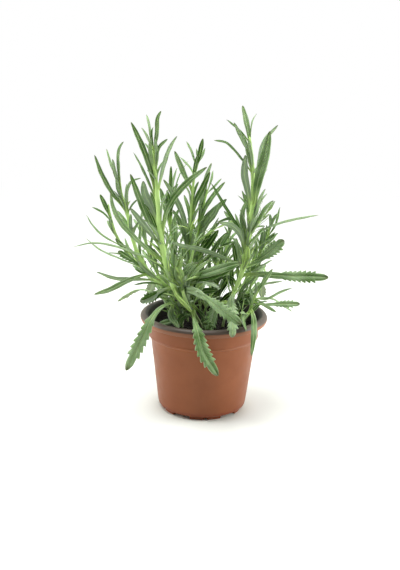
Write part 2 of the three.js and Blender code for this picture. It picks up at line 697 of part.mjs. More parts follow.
// Half of a blade's width at a share of its length: a narrow foot, widest past the middle,
// and a toothed blade has a longer narrow foot and a rounder tip than a plain one
function halfWidth(leaf, share) {
  const form = leaf.teeth ? toothedBlade : plainBlade;
  const leafy = Math.sin(Math.PI * share ** form.widest) ** form.fullness;
  return (leaf.wide / 2) * form.size * Math.max(form.foot * Math.sqrt(1 - share), leafy);
}

// Where a blade's cross-sections stand: share of length, half width, and how far forward
// its edges lean. A toothed blade has a valley and a forward-leaning peak for each tooth.
function bladeStations(leaf, length) {
  const station = (share, size, lean) => ({ share, half: halfWidth(leaf, share) * size, lean });
  if (!leaf.teeth) {
    const shares = length < shortBlade ? shortShares : plainShares;
    return shares.map((share) => station(share, 1, 0));
  }
  const stations = toothlessShares.foot.map((share) => station(share, 1, 0));
  const pitch = (tooth.to - tooth.from) / leaf.teeth;
  for (let i = 0; i < leaf.teeth; i += 1) {
    const valley = tooth.from + i * pitch;
    stations.push(station(valley, tooth.valley, 0));
    stations.push(station(valley + tooth.peak * pitch, tooth.crown, tooth.lean * pitch * length));
  }
  stations.push(station(tooth.to, tooth.valley, 0));
  stations.push(station(toothlessShares.end, 1, 0));
  return stations;
}

// A blade's sections have two raised edges and a keel below
function bladeSolid(leaf, points, facing, grow) {
  const line = curveThrough(points);
  const length = line.getLength();
  const stations = bladeStations(leaf, length);
  const positions = [];
  const put = (point) => positions.push(point.x, point.y, point.z);
  for (const { share, half, lean } of stations) {
    const middle = line.getPointAt(share);
    const along = directionAt(line, share);
    const above = facing.clone().addScaledVector(along, -facing.dot(along)).normalize();
    const across = new THREE.Vector3().crossVectors(along, above);
    const wide = half + grow;
    const edge = middle.clone().addScaledVector(above, half * blade.fold).addScaledVector(along, lean);
    put(edge.clone().addScaledVector(across, wide).addScaledVector(above, grow));
    put(edge.clone().addScaledVector(across, -wide).addScaledVector(above, grow));
    put(middle.clone().addScaledVector(above, -blade.keel - grow));
  }
  const tip = line.getPointAt(1).addScaledVector(directionAt(line, 1), grow);
  put(tip);
  return solidFrom(positions, ringTriangles(stations.length, 3));
}

// The share of the stem's length that shows nearest to a picture point
function shareNearest(line, [across, down]) {
  let best = { distance: Infinity, share: 0 };
  for (let i = 0; i <= lineSamples; i += 1) {
    const share = i / lineSamples;
    const [x, y] = pictureOf(line.getPointAt(share));
    const distance = Math.hypot(x - across, y - down);
    if (distance < best.distance) best = { distance, share };
  }
  return best.share;
}

// A leaf read from the picture: its points at their depths, and the way its upper face looks
function pictureLeaf(leaf, line, swing) {
  const share = shareNearest(line, leaf.path[0]);
  const base = line.getPointAt(share);
  const last = leaf.path.length - 1;
  const points = leaf.path.map((at, i) => {
    if (i === 0) return base;
    const back = Array.isArray(leaf.back) ? leaf.back[i - 1] : (leaf.back * i) / last;
    return seen(at, base.y + back + (swing * depthSwing * i) / last);
  });
  const chord = points[last].clone().sub(base).normalize();
  const toViewer = sight.from.clone().sub(base).normalize();
  toViewer.addScaledVector(chord, -toViewer.dot(chord)).normalize();
  const stalk = directionAt(line, share);
  const outward = chord.clone().addScaledVector(stalk, -chord.dot(stalk));
  const sideways = new THREE.Vector3().crossVectors(chord, toViewer);
  if (sideways.dot(outward) > 0) sideways.negate();
  const turn = THREE.MathUtils.degToRad(leaf.turn);
  const facing = toViewer.multiplyScalar(Math.cos(turn)).addScaledVector(sideways, Math.sin(turn));
  return { points, facing };
}

// A leaf by rule: it leaves the stem at its spread angle and curves a little further out
function ruleLeaf(leaf, line, swing) {
  const base = line.getPointAt(leaf.share);
  const stalk = directionAt(line, leaf.share);
  const heading = THREE.MathUtils.degToRad(leaf.heading + swing * headingSwing);
  const outward = new THREE.Vector3(Math.cos(heading), Math.sin(heading), 0);
  outward.addScaledVector(stalk, -outward.dot(stalk)).normalize();
  const step = (from, degrees) => {
    const angle = THREE.MathUtils.degToRad(degrees);
    const to = from.clone().addScaledVector(stalk, (leaf.long / 2) * Math.cos(angle));
    return to.addScaledVector(outward, (leaf.long / 2) * Math.sin(angle));
  };
  const middle = step(base, leaf.spread - leaf.bend);
  const points = [base, middle, step(middle, leaf.spread + leaf.bend)];
  const lean = THREE.MathUtils.degToRad(leaf.spread);
  const facing = stalk.clone().multiplyScalar(Math.sin(lean)).addScaledVector(outward, -Math.cos(lean));
  return { points, facing };
}

// Seeded draws between -1 and 1
function drawsFrom(seed) {
  let state = seed;
  return () => {
    state = (state * 16807) % 2147483647;
    return (2 * state) / 2147483647 - 1;
  };
}

// Opposite pairs up the stem, each turned from the last, shorter and steeper towards the tip
function pairLeaves(stem, seed) {
  const draw = drawsFrom(seed);
  const { from, to, count, long, spread, wide, heading, step } = stem.pairs;
  const leaves = [];
  for (let i = 0; i < count; i += 1) {
    const rise = i / (count - 1);
    for (const side of [0, 180]) {
      leaves.push({
        share: from + (to - from) * rise + variation.share * draw(),
        heading: heading + step * (i % 2) + side + variation.heading * draw(),
        long: (long[0] + (long[1] - long[0]) * rise) * (1 + variation.long * draw()),
        spread: spread[0] + (spread[1] - spread[0]) * rise + variation.spread * draw(),
        bend: bend.mean + bend.range * draw(),
        wide: wide * (1 + variation.wide * draw()),
      });
    }
  }
  return leaves;
}

const placed = [];

function place(owner, solid) {
  placed.push({ owner, solid, box: solid.boundingBox() });
}

function boxesMeet(a, b) {
  return [0, 1, 2].every((axis) => a.min[axis] <= b.max[axis] && b.min[axis] <= a.max[axis]);
}

// True if a solid keeps clear of every piece of the other nodes
function keepsClear(owner, solid) {
  const box = solid.boundingBox();
  const near = placed.filter((piece) => piece.owner !== owner && boxesMeet(box, piece.box));
  return near.every((piece) => solid.intersect(piece.solid).isEmpty());
}

// Places a leaf at the first swing that keeps clear of the other stems, the pot and the soil,
// and leaves it out if none does
function placeLeaf(stem, leaf, shape) {
  for (const swing of swings) {
    const { points, facing } = shape(leaf, stem.line, swing);
    if (keepsClear(stem.name, bladeSolid(leaf, points, facing, clearance))) {
      place(stem.name, bladeSolid(leaf, points, facing, 0));
      return;
    }
  }
}

function addPiece(group, name, solid, finish) {
  const material = new THREE.MeshStandardMaterial({ ...finish, metalness: 0 });
  const mesh = new THREE.Mesh(geometryOf(solid), material);
  mesh.name = name;
  group.add(mesh);
}

const pottedLavender = new THREE.Group();

const pot = potWithFeet();
addPiece(pottedLavender, "pot", pot, potFinish);
place("pot", pot);

const earth = soilWithHoles();
addPiece(pottedLavender, "soil", earth, soilFinish);
place("soil", earth);

for (const stem of stems) {
  stem.line = stemLine(stem);
  place(stem.name, stalkSolid(stem, stem.line));
}
for (const stem of stems) {
  for (const leaf of stem.leaves) placeLeaf(stem, leaf, leaf.path ? pictureLeaf : ruleLeaf);
}
stems.forEach((stem, i) => {
  for (const leaf of pairLeaves(stem, seeds.first + seeds.step * i)) placeLeaf(stem, leaf, ruleLeaf);
});
for (const stem of stems) {
  const pieces = placed.filter((piece) => piece.owner === stem.name).map((piece) => piece.solid);
  addPiece(pottedLavender, stem.name, wasm.Manifold.union(pieces), foliageFinish);
}

export default pottedLavender;
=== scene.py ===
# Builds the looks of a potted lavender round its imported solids: a fine pot, soil with crumbs, and
# one piece for each leafy stem, whose stalk and leaves follow the solids' own layout.
import bpy
import numpy as np
from mathutils import Matrix, Vector


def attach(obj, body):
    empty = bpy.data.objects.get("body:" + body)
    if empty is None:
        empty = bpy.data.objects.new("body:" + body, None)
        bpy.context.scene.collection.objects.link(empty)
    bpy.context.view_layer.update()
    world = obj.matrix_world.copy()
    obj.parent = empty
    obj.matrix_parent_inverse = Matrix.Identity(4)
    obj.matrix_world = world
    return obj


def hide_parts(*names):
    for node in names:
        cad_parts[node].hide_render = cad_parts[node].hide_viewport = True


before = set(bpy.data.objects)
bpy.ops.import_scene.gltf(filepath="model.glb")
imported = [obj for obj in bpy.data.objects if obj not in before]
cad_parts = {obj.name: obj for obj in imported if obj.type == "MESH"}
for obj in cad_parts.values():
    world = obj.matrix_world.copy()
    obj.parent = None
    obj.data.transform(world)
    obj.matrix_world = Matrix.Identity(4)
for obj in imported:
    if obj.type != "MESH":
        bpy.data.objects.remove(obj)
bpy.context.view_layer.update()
mm = 0.001  # every size below is in mm, unless its name says otherwise
print("frame loaded:", len(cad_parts), "nodes")

# The photograph's view: where its camera stands in mm, its angles in radians, and its focal
# length in pixels of a picture 400 wide and 570 high
view = {"distance": 870, "height": 366, "turn": -0.0054, "tilt": 0.2655, "roll": 0.0248}
picture = {"middleAcross": 200, "middleDown": 285, "tall": 570, "focal": 890, "sensor": 36}


# Vectors of length 1 in the same directions
def unit(vectors):
    return vectors / np.linalg.norm(vectors, axis=-1, keepdims=True)


# Even angles round a circle
def circle(count):
    return 2 * np.pi * np.arange(count) / count


# Points at angles, radii and heights round the upright axis
def ringPoints(a, radius, height=0):
    return np.stack([radius * np.cos(a), radius * np.sin(a), height + 0 * radius * a], -1)


# The view's three directions: a level look, turned and tilted down, then rolled about itself
def viewDirections():
    turn, tilt, roll = view["turn"], view["tilt"], view["roll"]
    forward = np.array([np.sin(turn), np.cos(turn), 0])
    level = np.array([np.cos(turn), -np.sin(turn), 0])
    ahead = np.cos(tilt) * forward - np.sin(tilt) * np.array([0, 0, 1])
    upright = np.cross(level, ahead)
    right = np.cos(roll) * level + np.sin(roll) * upright
    return ahead, right, np.cos(roll) * upright - np.sin(roll) * level


eye = np.array([0.0, -view["distance"], view["height"]])
ahead, right, up = viewDirections()


def addObject(name, data):
    made = bpy.data.objects.new(name, data)
    bpy.context.scene.collection.objects.link(made)
    return made


# The camera looks along the view's directions, with the focal length that the picture has
def addCamera():
    data = bpy.data.cameras.new("camera")
    data.sensor_width = picture["sensor"]
    data.lens = picture["focal"] / picture["tall"] * picture["sensor"]
    camera = addObject("camera", data)
    turned = Matrix(np.column_stack([right, up, -ahead]).tolist()).to_4x4()
    camera.matrix_world = Matrix.Translation(Vector(eye * mm)) @ turned
    bpy.context.scene.camera = camera


addCamera()
print("camera stands at", (eye * mm).round(3))

# Where the soil's middle is, how deep a stem stands in it, and how long it rises straight
rooting = {"soilTop": 87.5, "deep": 13, "straight": 3}

# The layout, as the solids have it. The rows of a stem are:
# - its root's x and y, and its thickness at foot and tip;
# - pairs of leaves by rule: share of the stem where they start and end, how many, length and
#   spread from the stem of the first and the last, width, heading, and turn from pair to pair;
# - its route, as pixels across and down the picture and mm behind the pot's axis;
# - its leaves. One read from the picture has how far its tip, or each of its points, lies behind
#   its foot, its width, how far its upper face turns from the viewer, its teeth, and the pixels
#   across and down of its path from stem to tip. One that the view hides has its share of the
#   stem, heading, length, spread, bend, width and teeth.
stemRows = {"stem_front_left": [
    (-8, 2, 6, 2.4),
    (0.42, 0.8, 4, 44, 28, 30, 18, 4.8, 140, 80),
    (190,311,-14, 177,293,-28, 168,270,-33, 163,250,-34, 160,230,-33, 158,205,-31, 156,180,-28,
     152.5,150,-24),
    (6, 7.5, 35, 0, 156,191, 149.5,167, 142,146, 131,122),
    (-8, 6, 50, 0, 154,155, 157,132, 157.5,119, 161,111),
    (10, 5, 72, 0, 152,145, 149,126, 146.5,114.5),
    (14, 5.5, 120, 0, 151,148, 147,137, 141.5,128),
    (3, 3.5, 70, 0, 152,142, 152,133, 153,127),
    (-6, 6, 50, 0, 156,166, 158.5,149, 167.5,139),
    (-10, 6.5, 130, 0, 158,190, 163.5,167, 169.5,149, 177,136),
    (8, 6, 62, 0, 157,199, 144,173, 133.5,152.5),
    (6, 3.5, 50, 0, 151,152, 149,149, 145,143),
    (-8, 8, 24, 0, 161,232, 166,213, 175,196, 190,180, 207,167),
    (-6, 5, 62, 0, 167,268, 150,259.5, 120,248, 95,243.3, 72.5,247),
    (2, 11, 152, 5, 173,287, 160,291, 150,297.5, 140,301.5),
    ((-8, -20, -34, -40, -42), 12, 10, 6, 184,301, 170,303.5, 160,308.5, 151.5,319, 143,336.5, 126,370.5),
    (14, 7.5, 28, 0, 160,238, 148,220, 138,195, 130.3,174),
    (20, 9.5, 160, 0, 159,222, 152,208, 145,194, 143,181),
    (6, 7.5, 145, 0, 161,246, 148,230, 130,208),
    (12, 6, 40, 0, 160.5,240, 155,226, 149,212, 143,203),
    (16, 6.8, 30, 0, 165,261, 151,252, 136,239, 121,223, 113,207, 110.5,192),
], "stem_left": [
    (-17, 9, 4.4, 1.8),
    (0.4, 0.78, 4, 40, 26, 32, 20, 4.6, 130, 85),
    (181,303,-10, 169,288,-18, 155,278,-20, 144,266,-20, 137,252,-18, 131,232,-16, 127,212,-14, 121,192,-12,
     118.5,170,-10),
    (-4, 6, 50, 0, 120,186, 118.5,165, 119,150, 123.5,141.5),
    (6, 4.5, 66, 0, 119,184, 111,165, 106.5,149),
    (-6, 6.5, 130, 0, 119.5,188, 114.5,172, 112.5,159),
    (-6, 7, 42, 0, 126,209, 112,193, 101,173, 94.5,155),
    (-8, 6, 118, 0, 127,212, 127,194, 131,182.5, 141,178),
    (-5, 3.5, 60, 0, 127.5,213, 132,205.5, 138,199),
    (4, 5, 120, 0, 132,240, 134,231, 139.5,221),
    (14, 3, 70, 0, 136.5,251, 139,236, 141.5,214, 146,202, 157,201, 169,206.5),
    (10, 4.5, 70, 0, 145,268, 120,259, 100,250, 85.5,238),
    (9, 6.5, 125, 0, 157,279, 135,279.3, 115,278.5, 96.5,272),
    (-12, 7.5, 40, 0, 150,274, 140,276, 125,282, 110,289.5, 94,294.5),
    (-4, 4, 50, 0, 163,284, 148,283, 133.5,285),
    (4, 3.5, 50, 0, 149,273, 141,272.5, 134.5,268.5),
    (14, 8.5, 35, 4, 147,270, 133,261, 118,251),
], "stem_far_left": [
    (-27, 20, 3.6, 1.6),
    (0.4, 0.78, 3, 38, 24, 34, 22, 4.6, 120, 90),
    (171,296,10, 150,276,12, 129,255,14, 118,239,14, 113,226,13, 110,214,12, 108,203,12),
    (-4, 6, 40, 0, 110,216, 104.5,204, 100,194.5),
    (4, 4, 66, 0, 111,222, 103,213, 92,207),
    (-4, 4.5, 64, 0, 121,246, 103,236, 92,225, 86.5,215),
    (-6, 7, 40, 0, 128,254, 122,245, 115.5,238.5),
], "stem_right": [
    (20, -4, 5.4, 2.2),
    (0.4, 0.76, 5, 46, 28, 30, 18, 5, 135, 85),
    (229,304,-6, 236,288,-7, 242,272,-7, 245,255,-6, 249,232,-4, 252,208,-2, 253,185,0, 252.5,162,1,
     249.5,136,2),
    (4, 7, 30, 0, 249,142, 247.5,127, 242.5,105.5),
    (10, 5, 68, 0, 250,143, 240,131.5, 226.5,119.5),
    (-8, 6, 130, 0, 250.5,156, 243,141, 234,122.5),
    (6, 3, 72, 0, 249.5,138, 252,122.5, 256.5,113.5),
    (-12, 5, 60, 0, 252,173, 241,158.5, 227,143.5, 214,140.3),
    (-6, 11.5, 14, 0, 252.5,207, 258.5,180, 265,156, 270,131),
    (10, 8, 135, 0, 253,196, 259,168, 264,143, 278,125),
    (18, 5, 60, 0, 253,200, 260,180, 267,169.5),
    (-6, 8.5, 155, 0, 252,206, 247.5,190, 244.5,174, 245.5,155),
    (6, 3.5, 60, 0, 251,214, 244,202, 238,195.5),
    (10, 6, 50, 0, 250.5,218, 247.5,205, 244.5,194),
    (-8, 7, 42, 0, 248.5,238, 242.5,224, 242.5,212, 247,200),
    (8, 5, 62, 0, 248,241, 240,229, 235,213.5),
    (-8, 6, 50, 0, 251.5,222, 257.5,210, 260.5,196),
    (10, 4.5, 58, 0, 252,216, 260,203, 267,193.5),
    (4, 7, 48, 0, 249.5,234, 259,220, 266,208, 273.5,200.5),
    (-10, 6, 54, 0, 247,244, 238,228, 225,207, 211,183),
    (-22, 7.5, 148, 0, 246,250, 240,234, 231,225.5, 219,222.5),
    (14, 6, 45, 0, 246.5,248, 237,229, 224,211),
    (-30, 7, 130, 0, 243,266, 222,257.5, 200,249.5, 185,246.5, 170.5,242),
    (10, 4, 58, 0, 245.5,256, 238,244, 229,235),
    (14, 7.5, 32, 0, 243,268, 238,254, 236,238),
    (12, 5, 64, 0, 247,244, 262,231, 285,222, 318.5,215),
    (-16, 12.5, 14, 7, 241,275, 255,274.3, 275,275.2, 300,276.5, 328.5,277.5),
    (8, 13.5, 24, 5, 244,267, 256,262.5, 270,252, 284,240),
    ((-20, -38, -58), 10.5, 6, 5, 234,292, 232.5,303, 233,319, 232.5,337.5),
], "stem_centre": [
    (-9, 27, 4, 1.8),
    (0.36, 0.74, 4, 42, 26, 30, 20, 4.8, 130, 80),
    (192,296,22, 189,272,19, 190,246,17, 191,222,16, 192,200,15, 194,178,14, 197,160,13),
    (-4, 6.5, 42, 0, 196,168, 200,153, 203,138.5),
    (6, 4.5, 68, 0, 196,166, 191.5,152, 186.5,141.5),
    (5, 3.5, 60, 0, 197,162, 197,155, 196.5,148.5),
    (8, 4, 62, 0, 197,165, 202,157, 205,148),
    (-5, 7, 32, 0, 193,190, 184,174, 174.5,151),
    (8, 4.5, 66, 0, 195,176, 190,168, 180,157),
    (-4, 7.5, 145, 0, 190,237, 182,213, 173,194, 163.5,179.5),
    (-12, 5.5, 60, 0, 189,264, 186,240, 181,222, 170.5,210.5),
], "stem_centre_right": [
    (3, 33, 3.6, 1.6),
    (0.36, 0.76, 3, 40, 26, 30, 20, 4.8, 45, 90),
    (200,290,30, 197,266,28, 197,243,27, 200,222,27, 204,204,26, 208,188,26),
    (-6, 8, 145, 0, 200,222, 203,195, 207,176, 211.5,163),
    (4, 4, 55, 0, 208,190, 211.5,180, 213,170.5),
    (-12, 6.5, 38, 0, 199,228, 204,211, 213,196, 225,182),
    (8, 3.5, 58, 0, 207,194, 214,187, 221.5,178.5),
    (-22, 8.5, 152, 0, 198,236, 206,219, 217,208, 226.5,199),
    (-30, 7.5, 140, 0, 197,246, 205,227, 214,215, 220,202),
    (-10, 7.5, 28, 0, 197,256, 208,245, 218.5,230),
    (-16, 6, 45, 0, 198,264, 206,259, 214,250, 222,238),
], "shoot_right_rim": [
    (37, -14, 2.8, 1.7),
    (0.45, 0.9, 3, 28, 18, 48, 30, 4.4, 60, 70),
    (249,312,-21, 253,301,-24, 257,290,-25),
    (5, 6.5, 38, 0, 256,294, 262,285, 272.5,269),
    (10, 4.5, 64, 0, 255,299, 266,299.5, 281,292, 292,288),
    (-8, 8, 36, 5, 253,302, 262,304.5, 282,304, 300,304),
    (6, 5, 50, 0, 254,299, 264,304.5, 276,312),
    ((-16, -34, -40), 7.5, 20, 0, 250,309, 253.5,318, 254,334, 251.5,356),
    ((-20, -36), 6, 30, 0, 249,313, 243,319, 246,331),
], "stem_right_upper": [
    (30, 18, 3, 1.7),
    (0.35, 0.8, 4, 34, 22, 36, 22, 4.4, 50, 85),
    (240,293,14, 249,274,15, 258,257,16, 266,240,17, 271,225,18),
    (4, 4.5, 62, 0, 268,237, 276,224, 280,207),
    (-4, 4.5, 50, 0, 270,230, 274,219, 278.5,213),
    (-4, 6, 130, 0, 270,232, 270.5,224, 270,214),
    (-6, 5.5, 50, 0, 264,246, 271,240, 278,233),
    (-8, 7.5, 145, 0, 260,254, 262,243, 264,228),
], "stem_front_centre": [
    (-2, -14, 3.6, 1.9),
    (0.4, 0.95, 5, 36, 20, 40, 20, 4.8, 20, 82),
    (193,310,-23, 186.5,291,-28, 188,272,-25, 192,256,-22, 195,242,-20),
    ((-10, -22, -34, -42), 12.5, 6, 6, 184.5,290, 195,291, 207,298.5, 222,309.5, 241.5,324),
    ((-20, -40, -51, -57, -58), 13, 8, 7, 192,309, 194,319, 196,326, 198,333, 204,353, 218,376),
    (-8, 12, 32, 0, 187,279, 205,274, 222,268.5, 241,263),
    (-12, 6.5, 130, 0, 186,284, 200,281.3, 211,283.5, 219,288),
    ((-4, -18), 12, 20, 4, 192,305, 203,316, 211,334),
    (-8, 5.5, 60, 0, 186.5,289, 185,280, 189,271, 198,262.5),
    (8, 3.5, 65, 0, 186.5,287, 193,277, 203,265, 214,256),
], "shoot_front_low": [
    (-22, -12, 2.6, 1.6),
    (0.5, 0.9, 2, 24, 16, 44, 30, 4.4, 150, 70),
    (180,312,-22, 174,303,-27, 170,296,-29),
    ((-4, -16), 8, 30, 0, 174,304, 171,316, 179,328),
    ((-6, -12), 7, 60, 0, 184,319, 168,324, 153,324.5),
], "stem_behind_left": [
    (-22, 36, 3, 1.7),
    (0.3, 0.94, 6, 46, 24, 38, 20, 5.2, 40, 84),
    (178,290,34, 174,266,34, 172,240,34, 171,216,34, 172,194,34),
    (3, 5.5, 48, 0, 172,198, 170.5,182, 171,166),
    (-3, 4.5, 58, 0, 172,196, 173.5,181, 177,168),
    (-8, 8, 28, 0, 172,224, 165,206, 160,188),
    (-8, 6, 20, 0, 173,254, 175.5,236, 174.5,215),
    (9, 3, 60, 0, 171.5,209, 175,190, 180,174, 188,161),
], "stem_behind_right": [
    (16, 42, 3, 1.7),
    (0.3, 0.94, 6, 44, 24, 40, 22, 5.2, 20, 86),
    (217,286,41, 222,266,41, 227,248,42, 230,230,43),
    (-12, 6, 40, 0, 222,262, 222,245, 231,232),
    (-20, 4.5, 60, 0, 220.5,272, 216.5,257, 222,247, 234,241),
], "stem_back_left": [
    (-38, 30, 3, 1.7),
    (0.26, 0.95, 6, 48, 24, 42, 20, 5.4, 120, 88),
    (163,286,38, 153,264,42, 146,242,45, 142,224,47),
    (0.26, 150, 66, 82, 20, 11, 5),
    (0.3, 112, 70, 84, 26, 11.5, 5),
], "stem_back_right": [
    (36, 34, 2.8, 1.6),
    (0.28, 0.94, 6, 44, 24, 42, 22, 5.4, 60, 88),
    (249,290,40, 256,272,44, 261,254,46),
    (0.36, 22, 62, 76, 16, 11, 5),
    (0.42, 64, 68, 82, 28, 11.5, 5),
], "stem_back_centre": [
    (-4, 42, 3, 1.7),
    (0.26, 0.95, 6, 50, 26, 42, 20, 5.6, 85, 88),
    (198,286,48, 196,262,56, 196,238,62),
    (0.32, 78, 74, 84, 30, 12, 5),
    (0.4, 106, 60, 66, 18, 10, 5),
]}

# How the photograph shows leaves by their places on a stem, in their own tone and in the light and shade on
# them, both painted into their colour: below 0 darker, above 0 paler
leafHuesWithPaintedLight = {
    "stem_front_left": {0: -0.4, 1: -0.2, 5: -0.5, 9: -0.35, 12: -0.15, 13: -0.5, 14: 0.9, 17: 0.1},
    "stem_left": {3: -0.3, 10: 0, 13: -0.5},
    "stem_right": {0: 0.15, 5: -0.35, 8: -0.3, 17: 0.5, 19: 0.3, 22: 0.4, 23: -0.3, 24: -0.05, 25: 0.2},
    "stem_right_upper": {3: 0.3, 4: 0.9},
    "stem_front_centre": {0: -0.1, 1: -0.35, 2: -0.3, 3: 0.6, 4: -0.7, 8: 1.5},
    "stem_centre": {6: 0.5, 7: 0.3},
    "stem_centre_right": {0: 0.2, 2: -0.3, 4: 0.6, 5: 0.4},
    "shoot_right_rim": {0: -0.25, 2: 0, 4: -0.1, 5: -0.4},
    "shoot_front_low": {0: -0.1, 1: 0.2},
}

# Finer leaves that the photograph shows between the solids' own: first the hue, which paints the
# light and shade on the leaf into its colour along with its own tone, and then the row of a leaf read from
# the picture
fineLeaves = {"stem_front_left": [
    (1.2, -2, 4.5, 20, 0, 154,170, 151,158, 150,147, 151,137),
    (0.9, -5, 4.5, 20, 0, 154.5,170, 157,158, 156.5,148, 154.5,138),
    (-1.1, 4, 12, 24, 4, 174,287, 164,291, 154,296, 142,301),
    (2, (-9, -12, -10), 5.5, 20, 0, 172.5,287, 176,294, 183,302, 192,312.5),
], "stem_right": [
    (1, -2, 4.5, 20, 0, 252,170, 248.5,157, 246.5,146, 243.5,135),
    (0.8, -4, 4, 25, 0, 252.5,172, 252,160, 250,148, 248,138),
    (-0.5, -6, 4, 50, 0, 246,250, 240,232, 232,219, 217,222),
    (-1.2, 4, 7, 30, 0, 236,290, 231,281, 232,268),
    (-1.2, 6, 6, 30, 0, 238,284, 229,277, 222,279),
    (-0.6, (-8, -22, -36), 15, 20, 4, 229,303, 220,304, 213,314, 208,333),
    (0.3, (-16, -30, -46), 14, 10, 3, 233,291, 231,299, 230.5,308, 232,321),
    (-1, 6, 5.5, 30, 0, 241,276, 236,262, 233,243),
    (2, -14, 6.5, 10, 0, 243.5,268, 247,259, 248,246),
    (-0.3, -11, 8, 14, 0, 243,275, 262,274.3, 280,275.8, 299,276.5),
], "stem_centre": [
    (-0.4, -3, 5, 30, 0, 194.5,180, 195,168, 197.5,155),
    (-0.6, -8, 7.5, 30, 0, 192,216, 196,201, 203,187, 210,172),
    (-0.1, -14, 7, 25, 0, 189,256, 186,240, 181,224, 173,210),
], "stem_centre_right": [
    (-0.8, -6, 6, 30, 0, 198,252, 206,240, 213,229, 220,222),
], "stem_front_centre": [
    (-0.9, -2, 12, 32, 0, 187,286, 200,279, 215,274.5, 231,269.5),
    (-0.6, -14, 8, 20, 0, 193,313, 187,315, 181,319, 179.5,327),
    (1.5, -12, 4, 20, 0, 188,296, 179,285, 180,270, 183,256),
    (0.2, -10, 6.5, 25, 0, 187,290, 183,278, 187,268, 196,262.5),
    (1.6, -14, 4.5, 15, 0, 186.5,292, 182,287, 182.5,278, 180.5,267),
    (1.3, -12, 4.5, 20, 0, 187,290, 190,279, 198,269, 210,260),
    (0.9, -2, 4.5, 40, 0, 187,293, 176,279, 172,262, 173,246),
    (1.2, -12, 4, 40, 0, 186,292, 178,282, 175,270, 178,259),
    (0.6, -6, 4.5, 30, 0, 188,296, 197,292, 205,286.5),
    (-1.2, -2, 8, 30, 0, 189,298, 201,292, 218,290),
    (1.6, (-12, -14, -10), 4, 20, 0, 186,290, 183,291, 186,301, 191,311),
    (0.3, (-11, -15, -22), 8.5, 8, 0, 181,292.5, 188,289.5, 197,292.5, 209,301),
], "shoot_front_low": [
    (0.2, (-6, -10, -13), 9, 40, 0, 181,316, 172,321, 164,323.5, 155.5,326),
], "stem_right_upper": [
    (0.3, -8, 6, 35, 0, 249,274, 254,262, 256,250, 256,239),
    (-0.3, -10, 9, 30, 0, 233,310, 241,303, 250,301, 258,303),
    (-0.8, -8, 8, 30, 0, 235,305, 240,298, 248,296),
    (-1, -6, 7, 30, 0, 232,312, 243,303, 254,300),
    (-0.8, -4, 6, 30, 0, 236,305, 246,297, 256,293),
], "stem_behind_left": [
    (-0.8, -4, 7, 30, 0, 172,222, 169,206, 167,190),
], "stem_behind_right": [
    (0.4, -20, 6.5, 35, 0, 218,285, 209,262, 214,249, 222,238, 228,232),
    (0.3, -20, 6, 35, 0, 219,272, 213,256, 219,243, 231,230.5),
    (-1.2, -8, 7, 30, 0, 218,302, 212,290, 209,276),
    (-1, -8, 6.5, 30, 0, 218,296, 225,284, 229,272),
    (-1.2, -12, 7, 30, 0, 218,306, 226,297, 236,291),
    (-1.2, -12, 7, 30, 0, 218,300, 210,296, 203,299),
], "stem_left": [
    (0.4, -3, 4.5, 25, 0, 122,202, 118.5,190, 116,178),
]}

# How a leaf by rule is varied, the seeds of all draws, and the swings that the solids try until
# a leaf stands clear
variation = {"share": 0.012, "heading": 12, "long": 0.14, "spread": 5, "wide": 0.12}
ruleBend = {"mean": 9, "range": 6}
ruleColumns = ("share", "heading", "long", "spread", "bend", "wide", "teeth")
seeds = {"first": 101, "step": 37, "times": 16807, "over": 2147483647, "plant": 500, "soil": 77,
         "bumps": 40}
swings = {"counts": (0, 1, -1, 2, -2, 3, -3, 4, -4), "depth": 5, "heading": 14, "tipGap": 0.05}
line = {"knots": 200, "step": 0.01, "places": 401}


# A smooth line through points. Between two points it is the cubic whose end slopes are half the
# way from the point before to the point after. Shares of its length run from 0 to 1.
def smoothLine(points):
    points = np.asarray(points, float)
    padded = np.vstack([2 * points[0] - points[1], points, 2 * points[-1] - points[-2]])

    def cubic(t):
        place = np.asarray(t, float) * (len(points) - 1)
        i = np.clip(place.astype(int), 0, len(points) - 2)
        w = (place - i)[..., None]
        p0, p1, p2, p3 = (padded[i + k] for k in range(4))
        low, high = (p2 - p0) / 2, (p3 - p1) / 2
        square = 3 * (p2 - p1) - 2 * low - high
        return p1 + low * w + square * w**2 + (2 * (p1 - p2) + low + high) * w**3

    knots = np.linspace(0, 1, line["knots"] + 1)
    steps = np.linalg.norm(np.diff(cubic(knots), axis=0), axis=1)
    lengths = np.concatenate([[0], np.cumsum(steps)])

    def at(share):
        return cubic(np.interp(np.clip(share, 0, 1) * lengths[-1], lengths, knots))

    return at, lengths[-1]


# The way a line runs at a share of its length, from a point just before to one just after
def direction(at, share):
    share = np.asarray(share, float)
    return unit(at(np.minimum(1, share + line["step"])) - at(np.maximum(0, share - line["step"])))


# The part of a vector that is square to a direction, made 1 long
def squareTo(vector, way):
    return unit(vector - vector @ way * way)


# The point at a depth that the view shows at a picture point
def seen(across, down, depth):
    ray = picture["focal"] * ahead + (across - picture["middleAcross"]) * right
    ray = ray + (picture["middleDown"] - down) * up
    return eye + ray * (depth - eye[1]) / ray[1]


# The picture points of an array of points: right and up of the view, over the distance ahead
def pictured(points):
    offset = points - eye
    scale = picture["focal"] / (offset @ ahead)
    across = picture["middleAcross"] + scale * (offset @ right)
    return np.stack([across, picture["middleDown"] - scale * (offset @ up)], -1)


